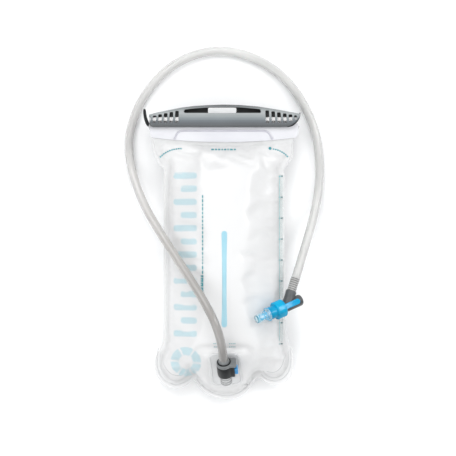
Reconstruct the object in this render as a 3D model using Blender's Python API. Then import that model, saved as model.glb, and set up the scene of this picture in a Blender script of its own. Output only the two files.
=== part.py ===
"""Hydration bladder: a two litre water reservoir of welded clear film with a slide-off
top closure, a quick-connect outlet, a drink tube and a twist-lock bite valve.

Frame: metres, +Z up. The filled bag lies on its back on z = 0. +Y runs from the outlet
towards the slide closure, +X to the right when the print side is looked at, and the
origin is under the middle of the flat rear face.
"""
import math

import bmesh
import bpy
import numpy as np
from mathutils import Matrix, Vector
from mathutils.geometry import delaunay_2d_cdt

MM = 0.001

# ---------------------------------------------------------------- driving dimensions (mm)
FILM = 0.8                 # film thickness, welded laminate
SEAM_GAP = 0.3             # gap between the two films in the welded flange
BAG_TOP_Z = 60.0           # highest film of the filled bag
SEAM_Z_TOP = 30.0          # height of the weld plane at the closure
SEAM_Z_BODY = 20.0         # along the sides
SEAM_Z_FOOT = 14.0         # at the bottom lobes

HOSE_OD = 9.5
HOSE_BORE = 6.4
HOSE_SOCKET_R = 3.8        # the tube's stretched bore over each barb
BARB_R = 3.5
GAP = 0.3                  # between touching pieces

NECK_Z = 30.0              # middle plane of the closure
RAIL_X0, RAIL_X1 = -81.6, 81.7
SLIDER_Y0 = 138.6
SLIDER_Z0, SLIDER_Z1 = 21.0, 39.0
CAV_Y0, CAV_Y1 = 141.1, 150.0
CAV_Z0, CAV_Z1 = 23.5, 36.5
MOUTH_Z0, MOUTH_Z1 = 26.5, 33.5
HANG_X0, HANG_X1, HANG_Y0, HANG_Y1 = -17.6, 13.6, 153.1, 159.7
BUTTON_TRAVEL = 1.4
POPPET_TRAVEL = 2.4

# outlet axis: middle of the connector's lower face, and the way the tube leaves
PORT_C = Vector((1.7, -132.2, 51.0))
PORT_A = Vector((-0.09, 0.74, 0.667)).normalized()

# drink valve: centre of the elbow's closed end, the mouthpiece end, and the branch point
VALVE_0 = Vector((84.4, -51.5, 37.5))
VALVE_1 = Vector((35.3, -72.4, 62.9))
BRANCH_AT = 19.5           # along the valve, where the tube's branch joins
BRANCH_LEN = 17.6
BRANCH_DIR = Vector((0.314, 0.925, -0.208)).normalized()

SEG = 20                   # sides of a round piece


# ---------------------------------------------------------------- start from an empty scene
for old in list(bpy.data.objects):
    bpy.data.objects.remove(old, do_unlink=True)


# ---------------------------------------------------------------- helpers
def material(name, color, rough, metal=0.0, alpha=1.0):
    m = bpy.data.materials.new(name)
    m.use_nodes = True
    p = m.node_tree.nodes["Principled BSDF"]
    p.inputs["Base Color"].default_value = (*color, 1.0)
    p.inputs["Roughness"].default_value = rough
    p.inputs["Metallic"].default_value = metal
    p.inputs["Alpha"].default_value = alpha
    m.diffuse_color = (*color, alpha)
    return m


def add(name, verts, faces, mat, smooth=True, scale=MM):
    """One named object from vertices in millimetres."""
    me = bpy.data.meshes.new(name)
    me.from_pydata([tuple(c * scale for c in v) for v in verts], [], faces)
    bm = bmesh.new()
    bm.from_mesh(me)
    bmesh.ops.recalc_face_normals(bm, faces=bm.faces)
    bm.to_mesh(me)
    bm.free()
    if smooth:
        me.shade_smooth()
        me.set_sharp_from_angle(angle=math.radians(35))
    me.materials.append(mat)
    ob = bpy.data.objects.new(name, me)
    bpy.context.scene.collection.objects.link(ob)
    return ob


def cutter(ob):
    ob.hide_render = True
    ob.display_type = "WIRE"
    return ob


def cut(ob, tool, op="DIFFERENCE"):
    m = ob.modifiers.new("cut", "BOOLEAN")
    m.operation = op
    m.solver = "EXACT"
    m.object = cutter(tool)
    return ob


def axes_from(a, hint):
    """Two unit vectors square to a: the first as near as possible to hint."""
    a = a.normalized()
    s = (hint - a * hint.dot(a)).normalized()
    return s, a.cross(s).normalized()


def prism(name, outline, lo, hi, mat, frame=None, smooth=False):
    """An outline in (u, v) pushed from lo to hi along w. frame = (origin, u, v, w)."""
    o, u, v, w = frame or (Vector((0, 0, 0)), Vector((1, 0, 0)), Vector((0, 1, 0)), Vector((0, 0, 1)))
    n = len(outline)
    verts = [o + u * p + v * q + w * h for h in (lo, hi) for p, q in outline]
    faces = [tuple(range(n))[::-1], tuple(range(n, 2 * n))]
    faces += [(i, (i + 1) % n, n + (i + 1) % n, n + i) for i in range(n)]
    return add(name, verts, faces, mat, smooth)


def box(name, lo, hi, mat, frame=None):
    (x0, y0, z0), (x1, y1, z1) = lo, hi
    return prism(name, [(x0, y0), (x1, y0), (x1, y1), (x0, y1)], z0, z1, mat, frame)


def turned(name, profile, origin, axis, mat, hint=Vector((0, 0, 1)), seg=SEG):
    """Turn (t, r) points about an axis. Points with r = 0 close the ends; a profile that
    never reaches the axis is a closed ring."""
    s, c = axes_from(axis, hint)
    a = axis.normalized()
    verts, rings = [], []
    for t, r in profile:
        if r == 0:
            rings.append([len(verts)])
            verts.append(origin + a * t)
        else:
            rings.append(list(range(len(verts), len(verts) + seg)))
            for k in range(seg):
                f = 2 * math.pi * (k + 0.5) / seg
                verts.append(origin + a * t + s * (r * math.cos(f)) + c * (r * math.sin(f)))
    faces = []
    pairs = list(zip(rings, rings[1:]))
    if len(rings[0]) > 1:
        pairs.append((rings[-1], rings[0]))
    for p, q in pairs:
        for k in range(seg):
            k2 = (k + 1) % seg
            if len(p) == 1:
                faces.append((p[0], q[k2], q[k]))
            elif len(q) == 1:
                faces.append((p[k], p[k2], q[0]))
            else:
                faces.append((p[k], p[k2], q[k2], q[k]))
    return add(name, verts, faces, mat)


def torus(name, origin, axis, big, small, mat, seg=SEG, sides=8):
    prof = [(small * math.sin(2 * math.pi * k / sides), big + small * math.cos(2 * math.pi * k / sides))
            for k in range(sides)]
    return turned(name, prof, origin, axis, mat, seg=seg)


def coil(name, origin, axis, hint, length, radius, wire, turns, mat, per_turn=10, sides=5):
    """A helical spring of round wire with closed ends."""
    s, c = axes_from(axis, hint)
    a = axis.normalized()
    n = int(turns * per_turn)
    mid = []
    for k in range(n + 1):
        f = 2 * math.pi * k / per_turn
        t = wire + (length - 2 * wire) * k / n
        mid.append(origin + a * t + s * (radius * math.cos(f)) + c * (radius * math.sin(f)))
    verts = []
    for k, p in enumerate(mid):
        d = (mid[min(k + 1, n)] - mid[max(k - 1, 0)]).normalized()
        out = (p - origin - a * (p - origin).dot(a)).normalized()
        up = d.cross(out).normalized()
        for j in range(sides):
            f = 2 * math.pi * j / sides
            verts.append(p + out * (wire * math.cos(f)) + up * (wire * math.sin(f)))
    faces = [tuple(range(sides)), tuple(range(n * sides, (n + 1) * sides))[::-1]]
    for k in range(n):
        for j in range(sides):
            j2 = (j + 1) % sides
            faces.append((k * sides + j, k * sides + j2, (k + 1) * sides + j2, (k + 1) * sides + j))
    return add(name, verts, faces, mat)


def round_outline(pts, per=3):
    """A closed Catmull-Rom curve through the points."""
    n, out = len(pts), []
    for i in range(n):
        p0, p1, p2, p3 = (np.array(pts[(i + k) % n], float) for k in (-1, 0, 1, 2))
        for k in range(per):
            t = k / per
            out.append(tuple(0.5 * (2 * p1 + (p2 - p0) * t + (2 * p0 - 5 * p1 + 4 * p2 - p3) * t * t
                                    + (3 * p1 - p0 - 3 * p2 + p3) * t ** 3)))
    return out


def rounded_rect(x0, y0, x1, y1, r, steps=4):
    out = []
    for cx, cy, f0 in ((x1 - r, y1 - r, 0), (x0 + r, y1 - r, 90), (x0 + r, y0 + r, 180), (x1 - r, y0 + r, 270)):
        for k in range(steps + 1):
            f = math.radians(f0 + 90 * k / steps)
            out.append((cx + r * math.cos(f), cy + r * math.sin(f)))
    return out


def inside(poly, x, y):
    """Even-odd test of arrays of points against a polygon."""
    hit = np.zeros(np.shape(x), bool)
    n = len(poly)
    for i in range(n):
        (x0, y0), (x1, y1) = poly[i], poly[(i + 1) % n]
        if y0 == y1:
            continue
        cross = ((y0 > y) != (y1 > y)) & (x < (x1 - x0) * (y - y0) / (y1 - y0) + x0)
        hit ^= cross
    return hit


def distance_to(poly, x, y):
    d = np.full(np.shape(x), 1e9)
    n = len(poly)
    for i in range(n):
        a, b = np.array(poly[i]), np.array(poly[(i + 1) % n])
        ab = b - a
        t = np.clip(((x - a[0]) * ab[0] + (y - a[1]) * ab[1]) / max(ab @ ab, 1e-9), 0, 1)
        d = np.minimum(d, np.hypot(x - a[0] - ab[0] * t, y - a[1] - ab[1] * t))
    return d


def smoothstep(e0, e1, x):
    t = np.clip((np.asarray(x, float) - e0) / (e1 - e0), 0, 1)
    return t * t * (3 - 2 * t)


# ---------------------------------------------------------------- materials
FILM_MAT = material("clear_film", (0.86, 0.88, 0.89), 0.35, alpha=0.55)
RAIL_MAT = material("rail", (0.88, 0.89, 0.91), 0.4, alpha=0.7)
BLUE_STRIP = material("baffle_blue", (0.10, 0.62, 0.88), 0.35)
GREY = material("slider_grey", (0.21, 0.235, 0.24), 0.38)
BLACK = material("soft_black", (0.03, 0.032, 0.034), 0.45)
CAP = material("cap_grey", (0.16, 0.175, 0.18), 0.4)
BLUE_BTN = material("button_blue", (0.03, 0.22, 0.48), 0.35)
CLEAR = material("clear_plastic", (0.82, 0.84, 0.85), 0.2, alpha=0.5)
STEEL = material("spring_steel", (0.6, 0.6, 0.62), 0.3, 1.0)
RUBBER = material("o_ring_rubber", (0.02, 0.02, 0.02), 0.6)
HOSE_MAT = material("tube", (0.70, 0.70, 0.68), 0.25, alpha=0.7)
ELBOW = material("elbow_grey", (0.09, 0.095, 0.10), 0.45)
VALVE_BLUE = material("valve_blue", (0.0, 0.30, 0.72), 0.3)
SHEATH = material("bite_silicone", (0.55, 0.75, 0.88), 0.3, alpha=0.5)

# ---------------------------------------------------------------- the bag
# outer edge of the two films, clockwise from the upper left end of the closure
EDGE = [(-80.5, 141), (-40, 141), (0, 141), (40, 141), (80.5, 141),
        (79, 131), (76, 121), (76, 112), (74.5, 104), (70, 97), (66, 92), (66.5, 84),
        (66.5, 60), (66.5, 30), (66.5, 0), (66.5, -30), (66.5, -60), (68, -78), (70.5, -97), (75.5, -108),
        (76.5, -118), (76, -128), (73, -139), (66, -144.5), (57, -147), (47.5, -144.5), (39, -139),
        (32, -144), (27.5, -151), (18, -159), (4, -162.5), (-11, -160), (-22, -154), (-28.5, -147),
        (-33, -141), (-40, -146), (-52, -151), (-65, -147), (-73, -138.5), (-77, -128), (-76, -117), (-71, -107),
        (-67, -97), (-66.5, -80), (-66.5, -50), (-66.5, -20), (-66.5, 10), (-66.5, 40), (-66.5, 70), (-66.5, 85),
        (-66, 92), (-71, 97), (-75, 105), (-77.5, 113), (-79, 122), (-80.5, 132)]
# inner edge of the weld: what lies inside it is filled
WELD = [(-68, 121.5), (-45, 119), (-22, 117.8), (0, 117.5), (22, 117.8), (45, 119), (68, 121.5),
        (70, 112), (67, 104), (62, 97), (59.5, 90), (60.5, 80),
        (61, 60), (61, 30), (61, 0), (61, -30), (61, -60), (61.5, -80), (61, -95), (57, -108),
        (49, -118), (39, -127), (31, -136), (24, -146), (14, -153.5), (2, -156), (-10, -154),
        (-19, -148), (-27, -139), (-35, -130), (-46, -121), (-55, -110), (-60, -97), (-61.5, -80),
        (-61, -50), (-61, -20), (-61, 10), (-61, 40), (-61, 70), (-60.5, 82), (-59.5, 90),
        (-62, 97), (-67, 104), (-70, 112)]


def densify(poly, step, corners=()):
    """Points no more than step apart along a smooth closed curve, straight along the top."""
    smooth = round_outline(poly, 2)
    out = []
    n = len(smooth)
    for i in range(n):
        a, b = np.array(smooth[i]), np.array(smooth[(i + 1) % n])
        k = max(1, int(math.ceil(np.hypot(*(b - a)) / step)))
        out += [tuple(a + (b - a) * j / k) for j in range(k)]
    return out


OUTER = densify(EDGE, 14.0)
INNER = densify(WELD, 14.0)


class Swell:
    """How full the bag is at a point: a membrane pinned along the weld, from 0 to 1."""

    def __init__(self, poly, step=3.0):
        self.step = step
        self.xs = np.arange(-84, 84 + step, step)
        self.ys = np.arange(-168, 132 + step, step)
        gx, gy = np.meshgrid(self.xs, self.ys, indexing="ij")
        mask = inside(poly, gx, gy)
        u = np.zeros(gx.shape)
        for _ in range(2600):
            v = u.copy()
            v[1:-1, 1:-1] = 0.25 * (u[2:, 1:-1] + u[:-2, 1:-1] + u[1:-1, 2:] + u[1:-1, :-2] + step * step)
            u = np.where(mask, v, 0.0)
        self.u = u / u.max()
        self.poly = poly

    def __call__(self, x, y):
        x, y = np.asarray(x, float), np.asarray(y, float)
        edge = np.where(inside(self.poly, x, y), np.clip(distance_to(self.poly, x, y) / 4.0, 0, 1), 0.0)
        fx = np.clip((np.asarray(x, float) - self.xs[0]) / self.step, 0, len(self.xs) - 1.001)
        fy = np.clip((np.asarray(y, float) - self.ys[0]) / self.step, 0, len(self.ys) - 1.001)
        i, j = fx.astype(int), fy.astype(int)
        a, b = fx - i, fy - j
        u = self.u
        return edge * (u[i, j] * (1 - a) * (1 - b) + u[i + 1, j] * a * (1 - b)
                       + u[i, j + 1] * (1 - a) * b + u[i + 1, j + 1] * a * b)


SWELL = Swell(INNER)


def seam_z(y):
    """Height of the weld plane."""
    return (SEAM_Z_BODY + (SEAM_Z_TOP - SEAM_Z_BODY) * smoothstep(50, 112, y)
            - (SEAM_Z_BODY - SEAM_Z_FOOT) * smoothstep(-90, -140, y))


PORT_S, PORT_N = axes_from(PORT_A, Vector((1, 0, 0)))   # across the outlet, and its outward normal
PORT_N = PORT_S.cross(PORT_A)
AXIS_LIFT = 10.6                                        # outlet axis above the film


def front_z(x, y):
    """Upper face of the front film."""
    x, y = np.asarray(x, float), np.asarray(y, float)
    r = SWELL(x, y)
    p = 0.52 + 0.33 * smoothstep(55, 112, y)
    z = seam_z(y) + SEAM_GAP / 2 + FILM + (BAG_TOP_Z - FILM - SEAM_GAP / 2 - seam_z(y)) * r ** p
    # the film lies flat under the outlet's base plate
    foot = PORT_C - PORT_N * AXIS_LIFT
    plane = foot.z - (PORT_N.x * (x - foot.x) + PORT_N.y * (y - foot.y)) / PORT_N.z
    qx, qy = np.maximum(np.abs(x - 0.5) - 15.5, 0), np.maximum(np.abs(y + 132.5) - 13.5, 0)
    near = 1 - smoothstep(1.5, 17.0, np.hypot(qx, qy))
    z = z + (plane - z) * near * (r > 0)
    floor = seam_z(y) + SEAM_GAP / 2 + FILM
    return np.where(r > 0, np.maximum(z, floor), floor)


def rear_z(x, y):
    """Lower face of the rear film: a bulge that rests flat on the ground."""
    r = SWELL(x, y)
    z = seam_z(y) - SEAM_GAP / 2 - FILM - (seam_z(y) + 8.0) * r ** (0.5 + 0.35 * smoothstep(55, 112, y))
    return np.maximum(z, 0.0)


def sheet_points():
    pts = list(OUTER)
    n_out = len(pts)
    pts += INNER
    n_in = len(INNER)
    step = 14.0
    rows = int(320 / (step * 0.866)) + 1
    for j in range(rows):
        y = -160 + j * step * 0.866
        for i in range(14):
            x = -91.0 + i * step + (step / 2 if j % 2 else 0)
            pts.append((x, y))
    arr = np.array(pts)
    x, y = arr[:, 0], arr[:, 1]
    keep = inside(OUTER, x, y) & (distance_to(OUTER, x, y) > 5.0) & (distance_to(INNER, x, y) > 4.0)
    keep[: n_out + n_in] = True
    pts = [p for p, k in zip(pts, keep) if k]
    outline = list(range(n_out))
    weld = [(n_out + k, n_out + (k + 1) % n_in) for k in range(n_in)]
    vs, _, fs, *_ = delaunay_2d_cdt([Vector(p) for p in pts], weld, [outline], 1, 1e-4)
    return [(v.x, v.y) for v in vs], [tuple(f) for f in fs]


def panel(name, height_low, height_high):
    """A film between two height functions."""
    vs, fs = SHEET
    arr = np.array(vs)
    lo, hi = height_low(arr[:, 0], arr[:, 1]), height_high(arr[:, 0], arr[:, 1])
    n = len(vs)
    verts = [(x, y, z) for (x, y), z in zip(vs, lo)] + [(x, y, z) for (x, y), z in zip(vs, hi)]
    faces = [tuple(f) for f in fs] + [tuple(k + n for k in reversed(f)) for f in fs]
    count = {}
    for f in fs:
        for a, b in zip(f, f[1:] + f[:1]):
            key = (min(a, b), max(a, b))
            count.setdefault(key, []).append((a, b))
    for pair in count.values():
        if len(pair) == 1:
            a, b = pair[0]
            faces.append((b, a, a + n, b + n))
    return add(name, verts, faces, FILM_MAT)


SHEET = sheet_points()
front = panel("front_panel", lambda x, y: front_z(x, y) - FILM, front_z)
rear = panel("rear_panel", rear_z, lambda x, y: rear_z(x, y) + FILM)

# the outlet hole in the front film
cut(front, turned("cut_outlet_hole", [(-6, 0), (-6, 5.2), (6, 5.2), (6, 0)],
                  PORT_C - PORT_A * 8.0 - PORT_N * AXIS_LIFT, PORT_N, FILM_MAT, seg=20))


# ---------------------------------------------------------------- closure rails
def band_low(x):
    """Lower edge of the stiff band under the closure."""
    return 121.4 + 5.3 * (abs(x) / 81.6) ** 2.2


def rail(name, side):
    """Band and bead of one lip, drawn along X. side = 1 front, -1 rear."""
    xs = [RAIL_X0 + (RAIL_X1 - RAIL_X0) * k / 22 for k in range(23)]
    verts = []
    for k, x in enumerate(xs):
        end = 2.0 if k in (0, len(xs) - 1) else 0.0
        sec = [(band_low(x) + end, 1.25), (142, 1.25), (142, 0.2), (149, 0.2), (149, 4.6), (147.6, 6.0),
               (143.4, 6.0), (142, 4.6), (142, 2.45), (band_low(x) + end, 2.45)]
        verts += [(x, y, NECK_Z + side * z) for y, z in sec]
    m = 10
    faces = [tuple(range(m)), tuple(range((len(xs) - 1) * m, len(xs) * m))[::-1]]
    for k in range(len(xs) - 1):
        for j in range(m):
            j2 = (j + 1) % m
            faces.append((k * m + j, k * m + j2, (k + 1) * m + j2, (k + 1) * m + j))
    return add(name, verts, faces, RAIL_MAT)


rail("front_rail", 1)
rail("rear_rail", -1)


# ---------------------------------------------------------------- zip strips of the baffle
def strip(name, front_side):
    """A moulded strip along the middle of a film's inner face: a rib on a flat back."""
    x_mid, half, y0, y1 = 1.1, 3.3, -82.5, 24.3
    n = 14
    verts = []
    for k in range(n + 1):
        y = y0 + (y1 - y0) * k / n
        if front_side:
            base, sgn = float(min(front_z(x_mid - half, y), front_z(x_mid + half, y), front_z(x_mid, y))) - FILM - 0.45, -1
        else:
            base, sgn = float(rear_z(x_mid, y)) + FILM + 0.45, 1
        for x, z in ((-half, 0), (half, 0), (half, 1.2), (1.3, 1.2), (1.3, 4.6), (-1.3, 4.6), (-1.3, 1.2), (-half, 1.2)):
            verts.append((x_mid + x, y, base + sgn * z))
    m = 8
    faces = [tuple(range(m)), tuple(range(n * m, (n + 1) * m))[::-1]]
    for k in range(n):
        for j in range(m):
            j2 = (j + 1) % m
            faces.append((k * m + j, k * m + j2, (k + 1) * m + j2, (k + 1) * m + j))
    return add(name, verts, faces, BLUE_STRIP)


strip("baffle_strip_front", True)
strip("baffle_strip_rear", False)

# ---------------------------------------------------------------- slide closure
TOP_EDGE = [(-82.2, 151.6), (-72, 154.2), (-60, 156.6), (-48, 159.0), (-34, 160.8), (-19, 161.9), (0, 162.5),
            (19, 162.0), (37, 160.4), (51, 158.3), (62, 156.4), (72, 154.6), (81.5, 152.9)]


def top_y(x):
    return float(np.interp(x, [p[0] for p in TOP_EDGE], [p[1] for p in TOP_EDGE]))


body_outline = ([(-82.2, 142.6), (-81.2, 140.4), (-78.6, SLIDER_Y0)] + [(-40, SLIDER_Y0), (0, SLIDER_Y0), (40, SLIDER_Y0), (68, SLIDER_Y0),
                (73.4, 139.5), (78.2, 142.2), (81.6, 146.0), (83.4, 150.0), (83.9, 152.2)] + TOP_EDGE[::-1])
slider = prism("slider_body", body_outline, SLIDER_Z0, SLIDER_Z1, GREY, smooth=True)
bev = slider.modifiers.new("round", "BEVEL")
bev.width = 1.6 * MM
bev.segments = 2
bev.limit_method = "ANGLE"
bev.angle_limit = math.radians(50)
cut(slider, box("cut_cavity", (-95, CAV_Y0, CAV_Z0), (95, CAV_Y1, CAV_Z1), GREY))
cut(slider, box("cut_mouth", (-95, 130, MOUTH_Z0), (95, CAV_Y0 + 0.5, MOUTH_Z1), GREY))
recess = [(x, HANG_Y0) for x in (-42.5, -30, 0, 30, 39.2)]
recess = [(-44, HANG_Y0 + 1.2), (-42.6, HANG_Y0)] + [(39.3, HANG_Y0), (40.7, HANG_Y0 + 1.2)]
recess += [(x, min(top_y(x) - 2.8, HANG_Y1)) for x in (40.7, 34, 26, 18, 10, 0, -10, -18, -26, -34, -44)]
cut(slider, prism("cut_recess", recess, 25.0, 45.0, GREY))
cut(slider, box("cut_hanger", (HANG_X0, HANG_Y0, 10), (HANG_X1, HANG_Y1, 50), GREY))
windows = []
for x in (-75.6, -69.6, -63.4, -57.2, -51.0, 48.6, 54.9, 61.1, 67.4):
    windows.append((x, 143.7, top_y(x) - 2.4))
windows += [(73.6, 145.6, 151.8)]
wv, wf = [], []
for x, y0, y1 in windows:
    k = len(wv)
    for z in (33.0, 45.0):
        wv += [(x - 1.9, y0, z), (x + 1.9, y0, z), (x + 1.9, y1, z), (x - 1.9, y1, z)]
    wf += [(k, k + 3, k + 2, k + 1), (k + 4, k + 5, k + 6, k + 7)]
    wf += [(k + i, k + (i + 1) % 4, k + 4 + (i + 1) % 4, k + 4 + i) for i in range(4)]
cut(slider, add("cut_windows", wv, wf, GREY, smooth=False))

# dark thumb fin that stops the left end
fin = [(-82.6, 139.2), (-82.6, 151.2), (-84.0, 153.6), (-85.6, 157.0), (-87.4, 158.0), (-88.7, 156.6),
       (-88.5, 152.0), (-87.6, 146.5), (-86.2, 141.5), (-84.4, 138.7)]
tab = prism("slider_end_tab", fin, SLIDER_Z0 + 0.4, SLIDER_Z1 - 0.4, BLACK, smooth=True)
bv = tab.modifiers.new("round", "BEVEL")
bv.width = 0.8 * MM
bv.segments = 2
bv.limit_method = "ANGLE"
bv.angle_limit = math.radians(50)

# ---------------------------------------------------------------- outlet on the bag
PF = (PORT_C, PORT_S, PORT_N, PORT_A)     # local frame: across, outward, along the tube
PLATE_T = 1.6
plate_low = -AXIS_LIFT + GAP
port = prism("port_base", [(u, w) for u, w in rounded_rect(-17.5, -27.0, 17.0, 22.5, 6.0)],
             plate_low, plate_low + PLATE_T, CLEAR, (PORT_C, PORT_S, PORT_A, PORT_N), smooth=True)
cut(port, turned("cut_add_stem", [(plate_low + 0.5, 0), (plate_low + 0.5, 8.6), (plate_low + 3.4, 7.4), (-1.0, 7.0), (-1.0, 0)],
                 PORT_C - PORT_A * 8.0, PORT_N, CLEAR), "UNION")
NIPPLE = [(-15.0, 0), (-15.0, 5.2), (-14.2, 6.2), (-12.6, 6.2), (-12.2, 5.6), (-11.0, 5.6), (-10.6, 6.2), (-1.2, 6.2),
          (-0.4, 5.4), (-0.4, 4.4), (4.2, 4.4), (4.2, 3.55), (5.8, 3.55), (5.8, 4.4), (6.4, 4.4), (7.0, 2.8),
          (10.5, 2.8), (10.5, 0)]
cut(port, turned("cut_add_nipple", NIPPLE, PORT_C, PORT_A, CLEAR), "UNION")
cut(port, turned("cut_port_way", [(-8.0, 0), (-8.0, 1.9), (15, 1.9), (15, 0)], PORT_C, PORT_A, CLEAR, seg=16))
cut(port, turned("cut_port_inlet", [(plate_low - 4, 0), (plate_low - 4, 4.4), (-3.5, 4.4), (0.3, 1.8), (0.3, 0)],
                 PORT_C - PORT_A * 8.0, PORT_N, CLEAR, seg=16))
torus("port_o_ring", PORT_C + PORT_A * 5.0, PORT_A, 4.24, 0.4, RUBBER, seg=24, sides=6)

# ---------------------------------------------------------------- quick connector
def lobe(r, reach, half, steps=20):
    """A circle with a square-ended ear reaching out along +u."""
    start = math.asin(half / r)
    out = [(r * math.cos(start + (2 * math.pi - 2 * start) * k / steps),
            r * math.sin(start + (2 * math.pi - 2 * start) * k / steps)) for k in range(steps + 1)]
    c = 1.2
    return out + [(reach - c, -half), (reach, -half + c), (reach, half - c), (reach - c, half)]


CF = (PORT_C, PORT_S, PORT_N, PORT_A)
conn = prism("connector_body", lobe(8.5, 11.4, 5.8), 0.0, 14.0, BLACK, CF, smooth=True)
cb = conn.modifiers.new("round", "BEVEL")
cb.width = 0.5 * MM
cb.segments = 1
cb.limit_method = "ANGLE"
cb.angle_limit = math.radians(60)
cut(conn, turned("cut_conn_bore", [(-3, 0), (-3, 4.8), (6.9, 4.8), (6.9, 3.1), (8.2, 3.1), (8.2, 4.8), (17, 4.8), (17, 0)],
                 PORT_C, PORT_A, BLACK))
cut(conn, prism("cut_latch_slot", lobe(7.4, 20, 3.9, 18), 1.9, 3.7, BLACK, CF))
cut(conn, box("cut_button_pocket", (8.6, -4.3, 1.4), (20, 4.3, 10.6), BLACK, CF))
SPRING_T = 6.6
cut(conn, turned("cut_spring_pocket", [(5.7, 0), (5.7, 1.6), (9.5, 1.6), (9.5, 0)], PORT_C + PORT_A * SPRING_T, PORT_S, BLACK, seg=14))

cap = prism("connector_cap", lobe(8.2, 13.2, 5.8), 14.3, 18.8, CAP, CF, smooth=True)
cc = cap.modifiers.new("round", "BEVEL")
cc.width = 0.6 * MM
cc.segments = 2
cc.limit_method = "ANGLE"
cc.angle_limit = math.radians(60)
cut(cap, turned("cut_add_barb", [(16.5, 0), (16.5, BARB_R), (32.0, BARB_R), (33.4, 2.9), (33.4, 0)], PORT_C, PORT_A, CAP), "UNION")
cut(cap, turned("cut_cap_way", [(10, 0), (10, 4.5), (16.4, 4.5), (17.6, 2.2), (40, 2.2), (40, 0)], PORT_C, PORT_A, CAP, seg=20))

# thumb button, the latch plate it pushes, and its return spring
BF = (PORT_C, PORT_A, PORT_N, PORT_S)
btn = prism("release_button", rounded_rect(1.9, -3.9, 10.1, 3.9, 1.2, 3), 10.2, 13.4, BLUE_BTN, (PORT_C, PORT_A, -PORT_N, PORT_S), smooth=True)
bb = btn.modifiers.new("round", "BEVEL")
bb.width = 0.5 * MM
bb.segments = 2
bb.limit_method = "ANGLE"
bb.angle_limit = math.radians(60)
ring = [(0.7 + 6.0 * math.cos(2 * math.pi * k / 24), 6.0 * math.sin(2 * math.pi * k / 24)) for k in range(24)]
plate = prism("latch_plate", ring, 2.2, 3.4, STEEL, CF)
cut(plate, box("cut_add_tongue", (4.0, -3.4, 2.2), (9.9, 3.4, 3.4), STEEL, CF), "UNION")
cut(plate, turned("cut_latch_hole", [(0, 0), (0, 5.2), (6, 5.2), (6, 0)], PORT_C + PORT_S * 0.7, PORT_A, STEEL, seg=24))
coil("button_spring", PORT_C + PORT_A * SPRING_T + PORT_S * 5.95, PORT_S, PORT_A, 3.95, 1.1, 0.22, 4, STEEL)

# shut-off poppet that the nipple holds open, and its spring
turned("shutoff_poppet", [(10.8, 0), (10.8, 3.0), (11.3, 4.2), (12.4, 4.2), (12.4, 1.6), (13.6, 1.6), (13.6, 0)], PORT_C, PORT_A, CLEAR)
torus("poppet_seal", PORT_C + PORT_A * 10.35, PORT_A, 3.75, 0.35, RUBBER, seg=24, sides=6)
coil("poppet_spring", PORT_C + PORT_A * 12.6, PORT_A, PORT_S, 3.9, 3.1, 0.3, 3, STEEL)

# ---------------------------------------------------------------- drink tube
V_A = (VALVE_1 - VALVE_0).normalized()
BRANCH = VALVE_0 + V_A * BRANCH_AT
TUBE_IN = PORT_C + PORT_A * (18.8 + GAP)
TUBE_OUT = BRANCH + BRANCH_DIR * (BRANCH_LEN + GAP)
ROUTE = ([tuple(TUBE_IN + PORT_A * t) for t in (0, 7, 14)] + [
    (-2.8, -98, 78.6), (-6, -85, 82.6), (-11, -72, 83.2), (-18, -58.5, 79.6), (-26.5, -44, 73), (-35.5, -30, 65), (-44.5, -16.5, 57.3),
    (-53.5, -3, 50), (-62.5, 10.5, 43), (-71.5, 24, 36.3), (-80, 37.5, 29.5), (-87.5, 51, 22.8), (-93.5, 64.5, 16.4),
    (-98.5, 78, 11), (-102.5, 91.5, 7.2), (-105, 105, 5.4), (-106, 118.5, 5), (-105, 132, 5), (-101.5, 145.5, 5),
    (-96.5, 158.5, 5), (-90, 171.5, 5), (-80.5, 185, 5), (-69.5, 197, 5), (-57.5, 207, 5), (-44.5, 214.5, 5),
    (-31, 220, 5), (-17, 223, 5), (-2, 224, 5), (13, 222.3, 5), (27, 218, 5), (40, 212.5, 5), (52, 205.5, 5),
    (63.5, 197, 5), (73.5, 186.5, 5), (82.5, 174.5, 5), (90.5, 160.5, 5), (97.5, 145, 5), (102.3, 130, 5),
    (105, 114.5, 5), (106.3, 98, 5), (106, 80.5, 5.8), (104, 62.5, 8.6), (100.5, 45, 13.2), (96, 28.5, 19),
    (91, 12, 25.2), (86, -4, 31.2)] + [tuple(TUBE_OUT + BRANCH_DIR * t) for t in (22, 14, 7, 0)])


def smooth_route(ctrl, count):
    """Evenly spaced points on a cubic B-spline that starts and ends on the control points."""
    p = [np.array(c, float) for c in ctrl]
    p = [2 * p[0] - p[1]] + p + [2 * p[-1] - p[-2]]
    fine = []
    for i in range(len(p) - 3):
        for k in range(12):
            t = k / 12
            fine.append(((1 - t) ** 3 * p[i] + (3 * t ** 3 - 6 * t ** 2 + 4) * p[i + 1]
                         + (-3 * t ** 3 + 3 * t ** 2 + 3 * t + 1) * p[i + 2] + t ** 3 * p[i + 3]) / 6)
    fine.append(np.array(ctrl[-1], float))
    fine = np.array(fine)
    run = np.concatenate([[0], np.cumsum(np.linalg.norm(np.diff(fine, axis=0), axis=1))])
    at = np.linspace(0, run[-1], count)
    return [tuple(np.interp(a, run, fine[:, k]) for k in range(3)) for a in at]


def tube_curve(name, pts, radius):
    cu = bpy.data.curves.new(name, "CURVE")
    cu.dimensions = "3D"
    sp = cu.splines.new("POLY")
    sp.points.add(len(pts) - 1)
    for q, v in zip(sp.points, pts):
        q.co = (v[0] * MM, v[1] * MM, v[2] * MM, 1.0)
    cu.bevel_depth = radius * MM
    cu.bevel_resolution = 2
    cu.use_fill_caps = True
    ob = bpy.data.objects.new(name, cu)
    bpy.context.scene.collection.objects.link(ob)
    return ob


route = smooth_route(ROUTE, 68)
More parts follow.
